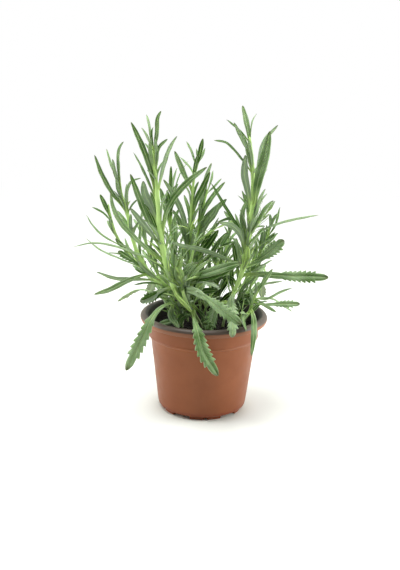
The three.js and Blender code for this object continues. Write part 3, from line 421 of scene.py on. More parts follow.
# A leaf read from the picture, on the stem where its path starts. Its upper face looks at the
# viewer, turned about the leaf towards the stem.
def pictureLeaf(stem, leaf, swing=0):
    shares = np.linspace(0, 1, line["places"])
    gaps = np.linalg.norm(pictured(stem["at"](shares)) - leaf["path"][0], axis=1)
    share = shares[gaps.argmin()]
    base, steps = stem["at"](share), np.arange(1, len(leaf["path"])) / (len(leaf["path"]) - 1)
    backs = np.array(leaf["back"]) if isinstance(leaf["back"], tuple) else leaf["back"] * steps
    depths = base[1] + backs + swing * swings["depth"] * steps
    points = [base] + [seen(*place, depth) for place, depth in zip(leaf["path"][1:], depths)]
    chord, stalk = unit(points[-1] - base), direction(stem["at"], share)
    toViewer = squareTo(unit(eye - base), chord)
    sideways = np.cross(chord, toViewer)
    sideways = sideways * (-1 if sideways @ (chord - chord @ stalk * stalk) > 0 else 1)
    turn = np.radians(leaf["turn"])
    return share, points, np.cos(turn) * toViewer + np.sin(turn) * sideways


# A leaf by rule: two steps of half its length, at its spread from the stem less and more its bend
def ruleLeaf(stem, leaf, swing=0):
    base, stalk = stem["at"](leaf["share"]), direction(stem["at"], leaf["share"])
    heading = np.radians(leaf["heading"] + swing * swings["heading"])
    outward = squareTo(np.array([np.cos(heading), np.sin(heading), 0]), stalk)
    angles = np.radians([leaf["spread"] - leaf["bend"], leaf["spread"] + leaf["bend"]])
    steps = leaf["long"] / 2 * (np.cos(angles)[:, None] * stalk + np.sin(angles)[:, None] * outward)
    lean = np.radians(leaf["spread"])
    points = [base, base + steps[0], base + steps[0] + steps[1]]
    return leaf["share"], points, np.sin(lean) * stalk - np.cos(lean) * outward


def readLeaf(row):
    if len(row) == len(ruleColumns):
        return dict(zip(ruleColumns, row))
    back, wide, turn, teeth, *path = row
    return dict(path=np.reshape(path, (-1, 2)), back=back, wide=wide, turn=turn, teeth=teeth)


# Opposite pairs up a stem, shorter and steeper towards its tip, varied by draws from -1 to 1
# that multiply a seed and keep the rest after a division. A row's numbers are named in order.
def pairLeaves(row, seed):
    low, high, count, longLow, longHigh, spreadLow, spreadHigh, wide, heading, step = row

    def draw():
        nonlocal seed
        seed = seed * seeds["times"] % seeds["over"]
        return 2 * seed / seeds["over"] - 1

    leaves = []
    for i in range(count):
        rise = i / (count - 1)
        long, spread = longLow + (longHigh - longLow) * rise, spreadLow + (spreadHigh - spreadLow) * rise
        for side in (0, 180):
            leaves.append(dict(zip(ruleColumns, (
                low + (high - low) * rise + variation["share"] * draw(),
                heading + step * (i % 2) + side + variation["heading"] * draw(),
                long * (1 + variation["long"] * draw()), spread + variation["spread"] * draw(),
                ruleBend["mean"] + ruleBend["range"] * draw(),
                wide * (1 + variation["wide"] * draw()), 0))))
    return leaves


def blade(leaf, found, **more):
    share, points, facing = found
    return dict(share=share, points=points, facing=facing, wide=leaf["wide"], teeth=leaf["teeth"], **more)


# The solids settled each leaf at the first swing that stands clear, and its tip is a corner of
# the node there. A leaf whose tip is no corner at any swing was left out.
def settled(stem, leaf, corners, more):
    for swing in swings["counts"]:
        found = (pictureLeaf if "path" in leaf else ruleLeaf)(stem, leaf, swing)
        if np.linalg.norm(corners - found[1][-1], axis=1).min() < swings["tipGap"]:
            return [blade(leaf, found, **more)]
    return []


# A stem's middle line rises straight out of its hole and then follows its route
def layOut(name, seed, ends, pairs, route, *rows):
    x, y, *thick = ends
    low, high = rooting["soilTop"] - rooting["deep"], rooting["soilTop"] + rooting["straight"]
    way = [(x, y, low), (x, y, high)] + [seen(*point) for point in np.reshape(route, (-1, 3))]
    stem = {"name": name, "root": (x, y), "thick": thick, "blades": []}
    stem["at"], stem["length"] = smoothLine(way)
    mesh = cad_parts[name].data
    corners = np.empty(len(mesh.vertices) * 3, np.float32)
    mesh.vertices.foreach_get("co", corners)
    for place, leaf in enumerate([readLeaf(row) for row in rows] + pairLeaves(pairs, seed)):
        hues = leafHuesWithPaintedLight.get(name, {})
        more = {"hue": hues[place]} if place in hues else {}
        stem["blades"] += settled(stem, leaf, corners.reshape(-1, 3) / mm, more)
    return stem


def addFineLeaves():
    for stem in stems:
        for hue, *row in fineLeaves.get(stem["name"], []):
            leaf = readLeaf(row)
            stem["blades"].append(blade(leaf, pictureLeaf(stem, leaf), hue=hue))


stems = [layOut(name, seeds["first"] + seeds["step"] * number, *rows)
         for number, (name, rows) in enumerate(stemRows.items())]
print("leaves found on the solids:", sum(len(stem["blades"]) for stem in stems))
addFineLeaves()


# Quads between rings of the same size, and fans of triangles from a point at each end. The
# points are the rings one after another, then the first end, then the last.
def tubeFaces(rings, size):
    here = np.arange(size)
    after = (here + 1) % size
    row = np.arange(rings - 1)[:, None] * size
    quads = np.stack([row + here, row + after, row + after + size, row + here + size], -1)
    top = (rings - 1) * size
    first, last = np.full(size, rings * size), np.full(size, rings * size + 1)
    fans = np.vstack([np.stack([first, after, here], -1),
                      np.stack([last, top + here, top + after], -1)])
    return quads.reshape(-1, 4), fans


# A closed tube through rings of points, (rings, size, 3), with values for its points in marks.
# Its volume is a sixth of the sum of a . (b x c) over its triangles, and where that is below
# zero the faces are turned round to point outwards.
def tube(rings, first, last, marks, material=0):
    count, size = rings.shape[:2]
    points = np.vstack([rings.reshape(-1, 3), first, last])
    quads, fans = tubeFaces(count, size)
    halves = np.vstack([quads[:, [0, 1, 2]], quads[:, [0, 2, 3]], fans])
    a, b, c = (points[halves[:, k]] - points[0] for k in range(3))
    if np.einsum("ij,ij->", a, np.cross(b, c)) < 0:
        quads, fans = quads[:, ::-1], fans[:, ::-1]
    values = {}
    for name, value in marks.items():
        grid = np.broadcast_to(value, (count, size))
        values[name] = np.concatenate([grid.ravel(), [grid[0].mean(), grid[-1].mean()]])
    return {"points": points, "quads": quads, "fans": fans, "marks": values, "material": material}


# One piece from many closed parts: their points and faces one after another
def makePiece(name, parts, materials):
    starts = np.cumsum([0] + [len(part["points"]) for part in parts[:-1]])
    points = np.vstack([part["points"] for part in parts]) * mm
    faces, slots = [], []
    for part, start in zip(parts, starts):
        for kind in ("quads", "fans"):
            faces += (part[kind] + start).tolist()
            slots += [part["material"]] * len(part[kind])
    mesh = bpy.data.meshes.new(name)
    mesh.from_pydata(points.tolist(), [], faces)
    mesh.polygons.foreach_set("material_index", slots)
    mesh.polygons.foreach_set("use_smooth", [True] * len(slots))
    for mark in parts[0]["marks"]:
        values = np.concatenate([part["marks"][mark] for part in parts])
        layer = mesh.attributes.new(mark, "FLOAT", "POINT")
        layer.data.foreach_set("value", values.astype(np.float32))
    for material in materials:
        mesh.materials.append(material)
    piece = addObject(name, mesh)
    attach(piece, "root")
    return piece


# The node tree that the functions below add to, which newMaterial and addRoom set
current = {}


# Sets an input to a plain value or links another socket to it
def fill(socket, value):
    if isinstance(value, bpy.types.NodeSocket):
        current["tree"].links.new(value, socket)
    else:
        socket.default_value = value


# Adds a shader node, sets its options and fills its inputs
def addNode(kind, inputs=(), **options):
    node = current["tree"].nodes.new(kind)
    for name, value in options.items():
        setattr(node, name, value)
    for key, value in dict(inputs).items():
        fill(node.inputs[key], value)
    return node


def newMaterial(name, sockets):
    material = bpy.data.materials.new(name)
    material.use_nodes = True
    current["tree"] = material.node_tree
    shader = material.node_tree.nodes["Principled BSDF"]
    for key, value in sockets.items():
        shader.inputs[key].default_value = value
    return material, shader


def readMark(name):
    return addNode("ShaderNodeAttribute", attribute_name=name).outputs["Fac"]


# The place on the piece in metres
def ownPlace():
    return addNode("ShaderNodeTexCoord").outputs["Object"]


# A noise from 0 to 1 on the piece's own coordinates, with features of a size in mm
def noiseOf(size, detail=2, rough=0.5, stretch=None):
    place = ownPlace()
    if stretch:
        place = addNode("ShaderNodeMapping", {"Vector": place, "Scale": stretch}).outputs[0]
    inputs = {"Vector": place, "Scale": 1 / (size * mm), "Detail": detail, "Roughness": rough}
    return addNode("ShaderNodeTexNoise", inputs).outputs["Fac"]


def compute(operation, *values):
    return addNode("ShaderNodeMath", dict(enumerate(values)), operation=operation).outputs[0]


def times(first, *others):
    for other in others:
        first = compute("MULTIPLY", first, other)
    return first


def minus(first, second):
    return compute("SUBTRACT", first, second)


# 0 below one value and 1 above another, smooth between, or falling where they are in turned order
def ramp(value, start, end, low=0.0, high=1.0):
    if start > end:
        start, end, low, high = end, start, high, low
    inputs = {"Value": value, 1: start, 2: end, 3: low, 4: high}
    return addNode("ShaderNodeMapRange", inputs, interpolation_type="SMOOTHSTEP").outputs[0]


# Coats of the look's colours over its first one. Each has its colour's name, and a share or the
# name of a value with its ramp.
def coated(look, first, values, coats):
    colour = (*look[first], 1)
    for name, share, *limits in coats:
        share = ramp(values[share], *limits) if limits else values[share]
        node = addNode("ShaderNodeMix", data_type="RGBA")
        for key, value in ((0, share), (6, colour), (7, (*look[name], 1))):
            fill(node.inputs[key], value)
        colour = node.outputs[2]
    return colour


# The shader takes a colour, and a bump from a height with a strength and a distance
def finishShader(shader, colour, height, strength, distance):
    fill(shader.inputs["Base Color"], colour)
    inputs = {"Height": height, "Strength": strength, "Distance": distance * mm}
    fill(shader.inputs["Normal"], addNode("ShaderNodeBump", inputs).outputs[0])


# Leaf colours and finish. Colours are shares of red, green and blue in linear light.
leafFinish = {
    # The deep colour is painted shade, for leaves of the lowest hues, which stand low inside the plant
    "deep": (0.012, 0.032, 0.005), "upper": (0.042, 0.115, 0.007), "upperPale": (0.3, 0.42, 0.22),
    "under": (0.26, 0.35, 0.21), "rib": (0.42, 0.56, 0.25), "edge": (0.34, 0.43, 0.25),
    "foot": (0.42, 0.6, 0.17), "felt": (0.42, 0.5, 0.36), "bronze": (0.09, 0.075, 0.05),
    "patchSize": 16, "hueWeight": 0.62, "feltNoise": (0.5, 3, 0.7), "bumpNoise": (1.2, 3, 0.6),
    "veinSlope": 1.25, "veinGap": 3.4, "veinWide": (0.13, 0.0), "veinHalf": (4.0, 5.2),
    "veinWeight": 0.4, "plainHalf": (1.0, 2.6, 0.2, 1), "ribWide": (0.65, 0.1, 0, 0.85),
    "edgeWide": (0.45, 0.05, 0, 0.5), "bump": (0.25, 0.15),
    "coats": (("upperPale", "patches", -0.08, 0.82), ("under", "under", 0.35, 0.65),
              # By hue: the lowest take the deep colour as painted shade, the highest the foot's colour as
              # painted light
              ("deep", "hue", -0.9, -2.0), ("foot", "hue", 1.0, 2.0),
              ("felt", "felt", 0.45, 0.75, 0, 0.06), ("rib", "vein"), ("rib", "rib"),
              ("edge", "edge"), ("foot", "along", 0.3, 0.0, 0, 0.85),
              ("bronze", "along", 0.92, 1.0, 0, 0.7)),
}
leafSockets = {"Roughness": 0.5, "Sheen Weight": 0.03, "Sheen Roughness": 0.45,
               "Specular IOR Level": 0.18, "Subsurface Weight": 0.15,
               "Subsurface Radius": (0.6, 1.0, 0.2), "Subsurface Scale": 0.001}


# Dark or pale green by noise and by the leaf's hue, which holds its own tone and painted light and
# shade: the lowest hues take a near black green as painted shade and the highest the foot's yellow
# green as painted light. Paler under, with pale rib, side veins, edge and foot. Rib and edge are
# faint on narrow leaves. Felt is a fine pale speckle.
def leafMaterial():
    look = leafFinish
    material, shader = newMaterial("lavenderLeaf", leafSockets)
    values = {name: readMark(name) for name in ("hue", "along", "ribGap", "edgeGap", "under", "run")}
    hued = times(values["hue"], look["hueWeight"])
    values["patches"] = compute("ADD", noiseOf(look["patchSize"]), hued)
    place = minus(values["run"], times(values["ribGap"], look["veinSlope"]))
    place = compute("FRACT", compute("DIVIDE", place, look["veinGap"]))
    wave = compute("ABSOLUTE", minus(place, 0.5))
    half = compute("ADD", values["ribGap"], values["edgeGap"])
    vein = times(ramp(wave, *look["veinWide"]), ramp(half, *look["veinHalf"]))
    plain = ramp(half, *look["plainHalf"])
    values["vein"] = times(vein, look["veinWeight"])
    values["rib"] = times(ramp(values["ribGap"], *look["ribWide"]), plain)
    values["edge"] = times(ramp(values["edgeGap"], *look["edgeWide"]), plain)
    values["felt"] = noiseOf(*look["feltNoise"])
    height = minus(noiseOf(*look["bumpNoise"]), vein)
    finishShader(shader, coated(look, "upper", values, look["coats"]), height, *look["bump"])
    return material


stalkFinish = {
    "bright": (0.52, 0.76, 0.24), "dull": (0.16, 0.27, 0.075), "low": (0.4, 0.48, 0.24),
    "streaks": (0.8, 3, 0.6, (1, 1, 0.12)), "streakWeight": 0.5, "bump": (0.3, 0.2),
    "coats": (("bright", "shade", 0.2, 1.1), ("low", "along", 0.4, 0.1, 0, 0.5)),
}


# Bright yellow green, duller on thin inner stems, paler low down, with fine streaks along it
def stalkMaterial():
    look = stalkFinish
    material, shader = newMaterial("lavenderStalk", {"Roughness": 0.5, "Sheen Weight": 0.12,
                                                     "Specular IOR Level": 0.4})
    streaks = noiseOf(*look["streaks"])
    shade = compute("ADD", readMark("hue"), times(streaks, look["streakWeight"]))
    values = {"shade": shade, "along": readMark("along")}
    finishShader(shader, coated(look, "dull", values, look["coats"]), streaks, *look["bump"])
    return material


# The blade's outline repeats the solids: a narrow foot, widest past the middle, and on toothed
# leaves a valley and a forward-leaning peak for each tooth
plainBlade = {"foot": 0.55, "fullness": 0.5, "widest": 1.2, "size": 0.88}
toothedBlade = {"foot": 0.3, "fullness": 0.55, "widest": 2.3, "size": 1}
tooth = {"low": 0.46, "high": 0.85, "peak": 0.6, "lean": 0.42, "valley": 0.7, "crown": 1.14,
         "plainLow": 0.16, "plainHigh": 0.94}
leafForm = {
    "rows": 26, "rowsPerTooth": 10, "thick": 0.6, "thickFull": 1.2, "edgePower": 0.6, "arch": 0.8,
    "rollUnder": 0.3, "rollFrom": 0.7, "groove": 0.4, "rib": 0.35, "ribWide": 0.6, "ribFade": 0.8,
    "ripple": 0.3, "rippleLong": 14, "rippleFull": 4, "twist": 0.3, "blunt": 0.997,
    "crowding": 1.5, "fold": 0.3, "smallWide": 3.4, "smallRows": 11,
}
# Places across a leaf from its edge to its rib, above and below, for large and small leaves
leafRings = {"large": ((1, 0.9, 0.68, 0.4, 0.13, 0), (0.85, 0.45, 0.13)),
             "small": ((1, 0.5, 0), (0.6,))}


# Half widths of a leaf's body and of its teeth, and forward leans, at shares s of its length.
# The body is wide/2 times the larger of foot * sqrt(1 - s) and sin(pi s^widest)^fullness, less
# the valley's share where it is toothed, and a round-tipped tooth rises from it in each pitch.
def bladeOutline(leaf, s, length):
    form = toothedBlade if leaf["teeth"] else plainBlade
    leafy = np.sin(np.pi * s ** form["widest"]).clip(0) ** form["fullness"]
    half = leaf["wide"] / 2 * form["size"] * np.maximum(form["foot"] * np.sqrt(1 - s), leafy)
    if not leaf["teeth"]:
        return half, np.zeros_like(s), np.zeros_like(s)
    pitch = (tooth["high"] - tooth["low"]) / leaf["teeth"]
    phase = (s - tooth["low"]) / pitch % 1
    rise = np.minimum(phase / tooth["peak"], (1 - phase) / (1 - tooth["peak"]))
    rise = np.sin(np.pi / 2 * rise) * ((s > tooth["low"]) & (s < tooth["high"]))
    body = np.interp(s, [tooth["plainLow"], tooth["low"], tooth["high"], tooth["plainHigh"]],
                     [1, tooth["valley"], tooth["valley"], 1])
    teeth = (tooth["crown"] - tooth["valley"]) * rise
    return half * body, half * teeth, tooth["lean"] * pitch * length * rise


# Places across round a leaf's ring, from one edge over the upper face to the other edge and back
# below, and which face each is on: 1 above, -1 below, 0 at an edge
def ringPlaces(kind):
    above, below = (np.array(values) for values in leafRings[kind])
    across = np.concatenate([above, -above[-2::-1], -below, below[::-1]])
    face = np.concatenate([np.ones(2 * len(above) - 1), -np.ones(2 * len(below))])
    return across, np.where(abs(across) == 1, 0, face)


# The foot of a large leaf runs down its stalk as a pale sheath
sheathForm = {"long": 9, "least": 0.01, "out": 0.45, "narrow": 0.4}


def sheathed(stem, leaf):
    base = leaf["points"][0]
    outward = squareTo(leaf["points"][1] - base, direction(stem["at"], leaf["share"]))
    radius = stalkThickness(stem, leaf["share"]) / 2
    low = stem["at"](leaf["share"] - sheathForm["long"] / stem["length"])
    points = [low + sheathForm["out"] * radius * outward, base + radius * outward]
    return dict(leaf, points=points + list(leaf["points"][1:]), sheath=sheathForm["long"])


# A leaf: a ring of points stands at each share of its middle line, and the shares crowd towards
# the tip as 1 - (1 - t)^crowding. Across each half the blade arches by |x| (1 - |x|) and its
# edge rolls under, a groove runs along its upper face and a rib along its lower one, and the
# blade ripples and turns a little about its line.
def leafPart(leaf, draw):
    form = leafForm
    at, whole = smoothLine(leaf["points"])
    sheath = leaf.get("sheath", 0)
    small = leaf["wide"] < form["smallWide"]
    rows = form["smallRows"] if small else form["rows"] + form["rowsPerTooth"] * leaf["teeth"]
    place = form["blunt"] * (1 - (1 - np.linspace(0, 1, rows)) ** form["crowding"])
    along, length = direction(at, place), whole - sheath
    s = ((place * whole - sheath) / length).clip(0)
    narrowing = np.interp(place * whole, [0, max(sheath, sheathForm["least"])], [sheathForm["narrow"], 1])
    above = unit(leaf["facing"] - (along @ leaf["facing"])[:, None] * along)
    side = np.cross(along, above)
    turn = (form["twist"] * draw.uniform(-1, 1) * s)[:, None]
    above, side = (np.cos(turn) * above + np.sin(turn) * side,
                   np.cos(turn) * side - np.sin(turn) * above)
    body, teeth, lean = (value[:, None] for value in bladeOutline(leaf, s, length))
    body, s = body * narrowing[:, None], s[:, None]
    x, face = ringPlaces("small" if small else "large")
    gap = abs(x)
    out = x * body + x * gap**3 * teeth
    arch = body * (form["arch"] * gap * (1 - gap) + form["fold"] * gap)
    roll = form["rollUnder"] * body * ((gap - form["rollFrom"]) / (1 - form["rollFrom"])).clip(0) ** 2
    ribShape = np.exp(-(gap * body / form["ribWide"]) ** 2)
    ridge = ribShape * np.where(face > 0, form["groove"], form["rib"] * (1 - form["ribFade"] * s))
    ripples = np.sin(2 * np.pi * (length / form["rippleLong"] * s + draw.random()) + np.sign(x))
    ripples = form["ripple"] * np.minimum(1, body / form["rippleFull"]) * x**2 * ripples
    thick = form["thick"] / 2 * np.sqrt(1 - gap) ** form["edgePower"]
    z = arch - roll - ridge * abs(face) + ripples
    z = z + face * thick * np.minimum(1, body / form["thickFull"])
    rings = (at(place)[:, None] + side[:, None] * out[..., None] + above[:, None] * z[..., None]
             + along[:, None] * (lean * gap**3)[..., None])
    marks = {"hue": leaf.get("hue", draw.uniform(-1, 1)), "along": s, "ribGap": abs(out),
             "edgeGap": (body + teeth) * (1 - gap), "under": 0.5 - 0.5 * face, "run": s * length}
    return tube(rings, rings[0].mean(0), at(1.0), marks)


# A stalk's form. Its foot is slimmer and duller than the rest, but bright on the front left stem.
stalkForm = {"columns": 12, "rowGap": 2, "fewest": 6, "filled": 0.88, "power": 4, "swelling": 0.16,
             "swellingLength": 2.2, "tipShare": 0.985, "footShares": (0.15, 0.42), "thickest": 6,
             "foot": {"slim": 0.55, "bright": -0.3}, "frontFoot": {"slim": 0.9, "bright": 0.5}}
otherMarks = {"ribGap": 0, "edgeGap": 0, "under": 0, "run": 0}


# The smooth step 3t^2 - 2t^3
def smoothStep(t):
    return 3 * t**2 - 2 * t**3


# The foot's look, and how much of it each place of a stalk has: from 1 to 0 by the smooth step
def stalkFoot(stem, s):
    low, high = stalkForm["footShares"]
    look = stalkForm["frontFoot" if stem.get("name") == "stem_front_left" else "foot"]
    return look, 1 - smoothStep(np.clip((s - low) / (high - low), 0, 1))


# A stalk's thickness falls with the fourth power of the share, so mostly near its tip, and it is
# slimmer at its foot
def stalkThickness(stem, s):
    low, high = stem["thick"]
    look, foot = stalkFoot(stem, s)
    return (low + (high - low) * s**4) * stalkForm["filled"] * (1 - (1 - look["slim"]) * foot)


# A stalk's directions at shares: along it, and two square to it
def stalkAxes(stem, s):
    along = direction(stem["at"], s)
    side = unit(np.array([1, 0, 0]) - along[:, :1] * along)
    return along, side, np.cross(along, side)


# A stalk: a rounded square carried along its line. Round the ring its radius is
# r / (cos(a)^p + sin(a)^p)^(1/p), and r swells a little at each leaf.
def stalkPart(stem, bright, columns):
    form = stalkForm
    s = np.linspace(0, form["tipShare"], max(form["fewest"], int(stem["length"] / form["rowGap"])))
    along, side, across = stalkAxes(stem, s)
    gaps = (s[:, None] - np.array([leaf["share"] for leaf in stem["blades"]])) * stem["length"]
    swelling = np.exp(-(gaps / form["swellingLength"]) ** 2).max(1)
    radius = stalkThickness(stem, s) / 2 * (1 + form["swelling"] * swelling)
    x, y, _ = ringPoints(circle(columns), 1).T
    square = (abs(x) ** form["power"] + abs(y) ** form["power"]) ** (-1 / form["power"])
    wide = (radius[:, None] * square)[..., None]
    rings = stem["at"](s)[:, None] + wide * (side[:, None] * x[:, None] + across[:, None] * y[:, None])
    look, foot = stalkFoot(stem, s)
    marks = {"hue": bright + look["bright"] * foot[:, None], "along": s[:, None], **otherMarks}
    return tube(rings, stem["at"](0.0), stem["at"](1.0), marks, material=1)


# Short hairs stand out from a stalk: each is a slim pyramid of three sides
hairs = {"perMm": 2.2, "long": (0.35, 0.8), "thick": 0.09, "shares": (0.16, 0.97), "sunk": 0.15,
         "lean": 0.3, "marks": {"hue": 1.2, "along": 0.5, **otherMarks}}


def hairPart(stem, draw):
    count = int(hairs["perMm"] * stem["length"])
    s = draw.uniform(*hairs["shares"], count)
    along, side, across = stalkAxes(stem, s)
    turn = draw.uniform(0, 2 * np.pi, (count, 1))
    outward = np.cos(turn) * side + np.sin(turn) * across
    radius = stalkThickness(stem, s)[:, None] / 2
    foot = stem["at"](s) + (1 - hairs["sunk"]) * radius * outward
    long = draw.uniform(*hairs["long"], (count, 1)) + hairs["sunk"] * radius
    aside = np.cross(along, outward)
    corners = [foot + hairs["thick"] * (np.cos(a) * along + np.sin(a) * aside) for a in circle(3)]
    corners.append(foot + long * unit(outward + hairs["lean"] * along))
    points = np.stack(corners, 1).reshape(-1, 3)
    faces = np.array([[0, 2, 1], [0, 1, 3], [1, 2, 3], [2, 0, 3]])
    fans = (4 * np.arange(count)[:, None, None] + faces).reshape(-1, 3)
    marks = {name: np.full(len(points), value) for name, value in hairs["marks"].items()}
    return {"points": points, "quads": np.empty((0, 4), int), "fans": fans, "marks": marks,
            "material": 1}


# Young leaves stand in the corner of each leaf and its stem, more and longer low on the stem, from
# a share of its length up that is larger for the front stems
tufts = {"low": {"below": 0.55, "chance": 0.9, "count": (2, 5), "long": (16, 36)},
         "high": {"below": 0.8, "chance": 0.5, "count": (1, 3), "long": (7, 15)},
         "wide": (1.8, 3.6), "spread": (8, 36), "aside": 70, "above": (0.1, 0.32), "bend": (2, 12)}
# The plant's core, and the hues of drawn leaves, which pale with height as painted light high up and
# painted shade low inside the plant
core = {"radius": 44, "from": 100, "widening": 0.42, "hue": (-1.8, 0.6), "paintedLightPerMm": 0.03,
        "paintedLightMost": 1.5}


# The drawn leaves that keep within the plant's core: from a height up, it widens evenly
def withinCore(leaves):
    tips = np.array([leaf["points"][-1] for leaf in leaves]).reshape(-1, 3)
    reach = core["radius"] + core["widening"] * (tips[:, 2] - core["from"]).clip(0)
    inside = np.hypot(tips[:, 0], tips[:, 1]) < reach
    return [leaf for leaf, kept in zip(leaves, inside) if kept]


# A leaf by rule on a stem or shoot, from drawn sizes. Its hue pales with its tip's height: painted light on
# high leaves and painted shade on low ones inside the plant.
def drawnLeaf(stem, share, heading, long, spread, wide, draw):
    leaf = {"share": share, "heading": heading, "long": draw.uniform(*long),
            "spread": draw.uniform(*spread), "bend": draw.uniform(*tufts["bend"]), "teeth": 0}
    found = ruleLeaf(stem, leaf)
    leaf["wide"] = draw.uniform(*wide)
    # Painted light and shade: the higher the tip above the core's foot, the paler the hue, up to a limit
    pale = min(core["paintedLightMost"], core["paintedLightPerMm"] * max(0, found[1][-1][2] - core["from"]))
    return blade(leaf, found, hue=draw.uniform(*core["hue"]) + pale)


def tuftLeaves(stem, draw):
    leaves = []
    for leaf in stem["blades"]:
        kind = tufts["low"] if leaf["share"] < tufts["low"]["below"] else tufts["high"]
        above = tufts["above"][stem["root"][1] < shoots["front"]]
        if not above < leaf["share"] < kind["below"] or draw.random() > kind["chance"]:
            continue
        toTip = leaf["points"][-1] - leaf["points"][0]
        heading = np.degrees(np.arctan2(toTip[1], toTip[0]))
        for _ in range(draw.integers(*kind["count"], endpoint=True)):
            aside = heading + tufts["aside"] * draw.uniform(-1, 1)
            leaves.append(drawnLeaf(stem, leaf["share"], aside, kind["long"], tufts["spread"],
                                    tufts["wide"], draw))
    return withinCore(leaves)


# Side shoots: thin branches low on each stem, with a few pairs of small leaves. Those of the
# front stems stand behind them.
shoots = {"perStem": 6, "shares": (0.14, 0.5), "long": (26, 52), "spread": (18, 48),
          "thick": (1.7, 0.9), "pairs": (3, 5), "leafLong": (9, 22), "leafWide": (1.8, 3),
          "leafSpread": (22, 50), "front": 6, "backHeadings": (10, 170), "pairShares": (0.3, 0.98),
          "quarter": 90, "bright": 0.5, "columns": 8}


def sideShoots(stem, draw):
    made = []
    headings = shoots["backHeadings"] if stem["root"][1] < shoots["front"] else (0, 360)
    sizes = shoots["leafLong"], shoots["leafSpread"], shoots["leafWide"], draw
    for _ in range(shoots["perStem"]):
        share = draw.uniform(*shoots["shares"])
        branch = drawnLeaf(stem, share, draw.uniform(*headings), shoots["long"], shoots["spread"],
                           shoots["leafWide"], draw)
        if not withinCore([branch]):
            continue
        at, length = smoothLine(branch["points"])
        shoot = {"at": at, "length": length, "thick": shoots["thick"]}
        count = draw.integers(*shoots["pairs"], endpoint=True)
        first = draw.uniform(0, 360)
        shoot["blades"] = withinCore([
            drawnLeaf(shoot, share, first + shoots["quarter"] * i + side, *sizes)
            for i, share in enumerate(np.linspace(*shoots["pairShares"], count)) for side in (0, 180)])
        made.append(shoot)
    return made


def buildPlant():
    materials = [leafMaterial(), stalkMaterial()]
    for number, stem in enumerate(stems):
        draw = np.random.default_rng(seeds["plant"] + number)
        bright = stem["thick"][0] / stalkForm["thickest"]
        parts = [stalkPart(stem, bright, stalkForm["columns"]), hairPart(stem, draw)]
        leaves = [sheathed(stem, leaf) for leaf in stem["blades"]] + tuftLeaves(stem, draw)
        for shoot in sideShoots(stem, draw):
            parts.append(stalkPart(shoot, shoots["bright"], shoots["columns"]))
            leaves += shoot["blades"]
        parts += [leafPart(leaf, draw) for leaf in leaves]
        piece = makePiece(stem["name"] + "_leafy", parts, materials)
        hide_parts(stem["name"])
        triangles = sum(2 * len(part["quads"]) + len(part["fans"]) for part in parts)
        print(stem["name"], "has", len(leaves), "leaves and", triangles, "triangles")


buildPlant()

# The pot's section as (radius, height, rounding) corners: out along the underside, up the outer
# side, over the rolled lip and down the inner side
potForm = {
    "corners": [(0, 0, 0), (11, 0, 0.5), (11.6, 3, 0.5), (33.7, 3, 0), (34, 3, 0), (41, 3, 0),
                (41.3, 3, 0), (42.2, 3.1, 0.4), (44.7, 4.6, 1.2), (45.6, 8, 1.4), (53.9, 76.4, 0.4),
                (55.3, 77, 0.5), (56.2, 77.9, 0.5), (56.1, 79, 0.4), (55.8, 79.6, 0.5), (57, 96, 2),
                (58.6, 98.9, 1.2), (61, 99.7, 1), (62.5, 98.2, 1), (62.2, 93.3, 0.2),
                (63.5, 93.3, 0.5), (65, 96.9, 1.2), (64.2, 99.2, 1.4), (62.4, 100.9, 1),
                (60, 101.3, 1.2), (57, 99.9, 1.2), (54.8, 96, 2), (44, 8, 3), (42, 6, 1.5),
                (38.6, 4.6, 1), (0, 4.6, 0)],
    "liningFrom": (62.6, 96.5, 98.5), "crest": 61.5, "columns": 180, "roundSteps": 4,
    "rowGap": 6, "longestCut": 0.45, "sharpAngle": 38,
}
feet = {"count": 5, "turn": 6, "angle": 45, "inner": 33.9, "outer": 41.1, "floor": 3.1,
        "notchWide": 3.2, "notchHigh": 1.8, "wallAngle": 0.3}
drain = {"radius": 3.5, "ring": 27, "columns": 24, "heights": (2, 7)}
potFinish = {
    "clay": (0.272, 0.081, 0.027), "clayDeep": (0.242, 0.07, 0.022), "low": (0.235, 0.058, 0.02),
    "edge": (0.33, 0.115, 0.048), "lining": (0.125, 0.1, 0.078), "ridge": (0.36, 0.15, 0.08),
    # Below: the dark inner side, then a dark brown that is painted shade for the lip's front, which lies
    # under the leaves
    "inside": (0.022, 0.018, 0.015), "stain": (0.035, 0.024, 0.016),
    "patches": (24, 3, 0.55), "roughNoise": (9, 4, 0.6), "rough": (0.2, 0.8, 0.36, 0.5),
    "grain": (1.6, 3, 0.6), "bump": (0.1, 0.3), "ridgeHeight": 78.6, "edgeHeight": (92.5, 93),
    # The lip's painted front shade comes in from y = -36 to -56 mm, and weighs 0.4 on the clay and 0.72 on
    # the lining
    "liningRamp": (0.2, 0.9), "insideRadius": (60.3, 58.8), "front": (-36, -56),
    "paintedFrontShadeWeight": (0, 1, 0.4, 0.72),
    "coats": (("clayDeep", "patches", 0.3, 0.7), ("low", "height", 9, 6.5),
              ("ridge", "ridgeGap", 0.9, 0, 0, 0.6), ("edge", "edge"), ("lining", "lining"),
              ("stain", "stain"), ("inside", "inside")),
}


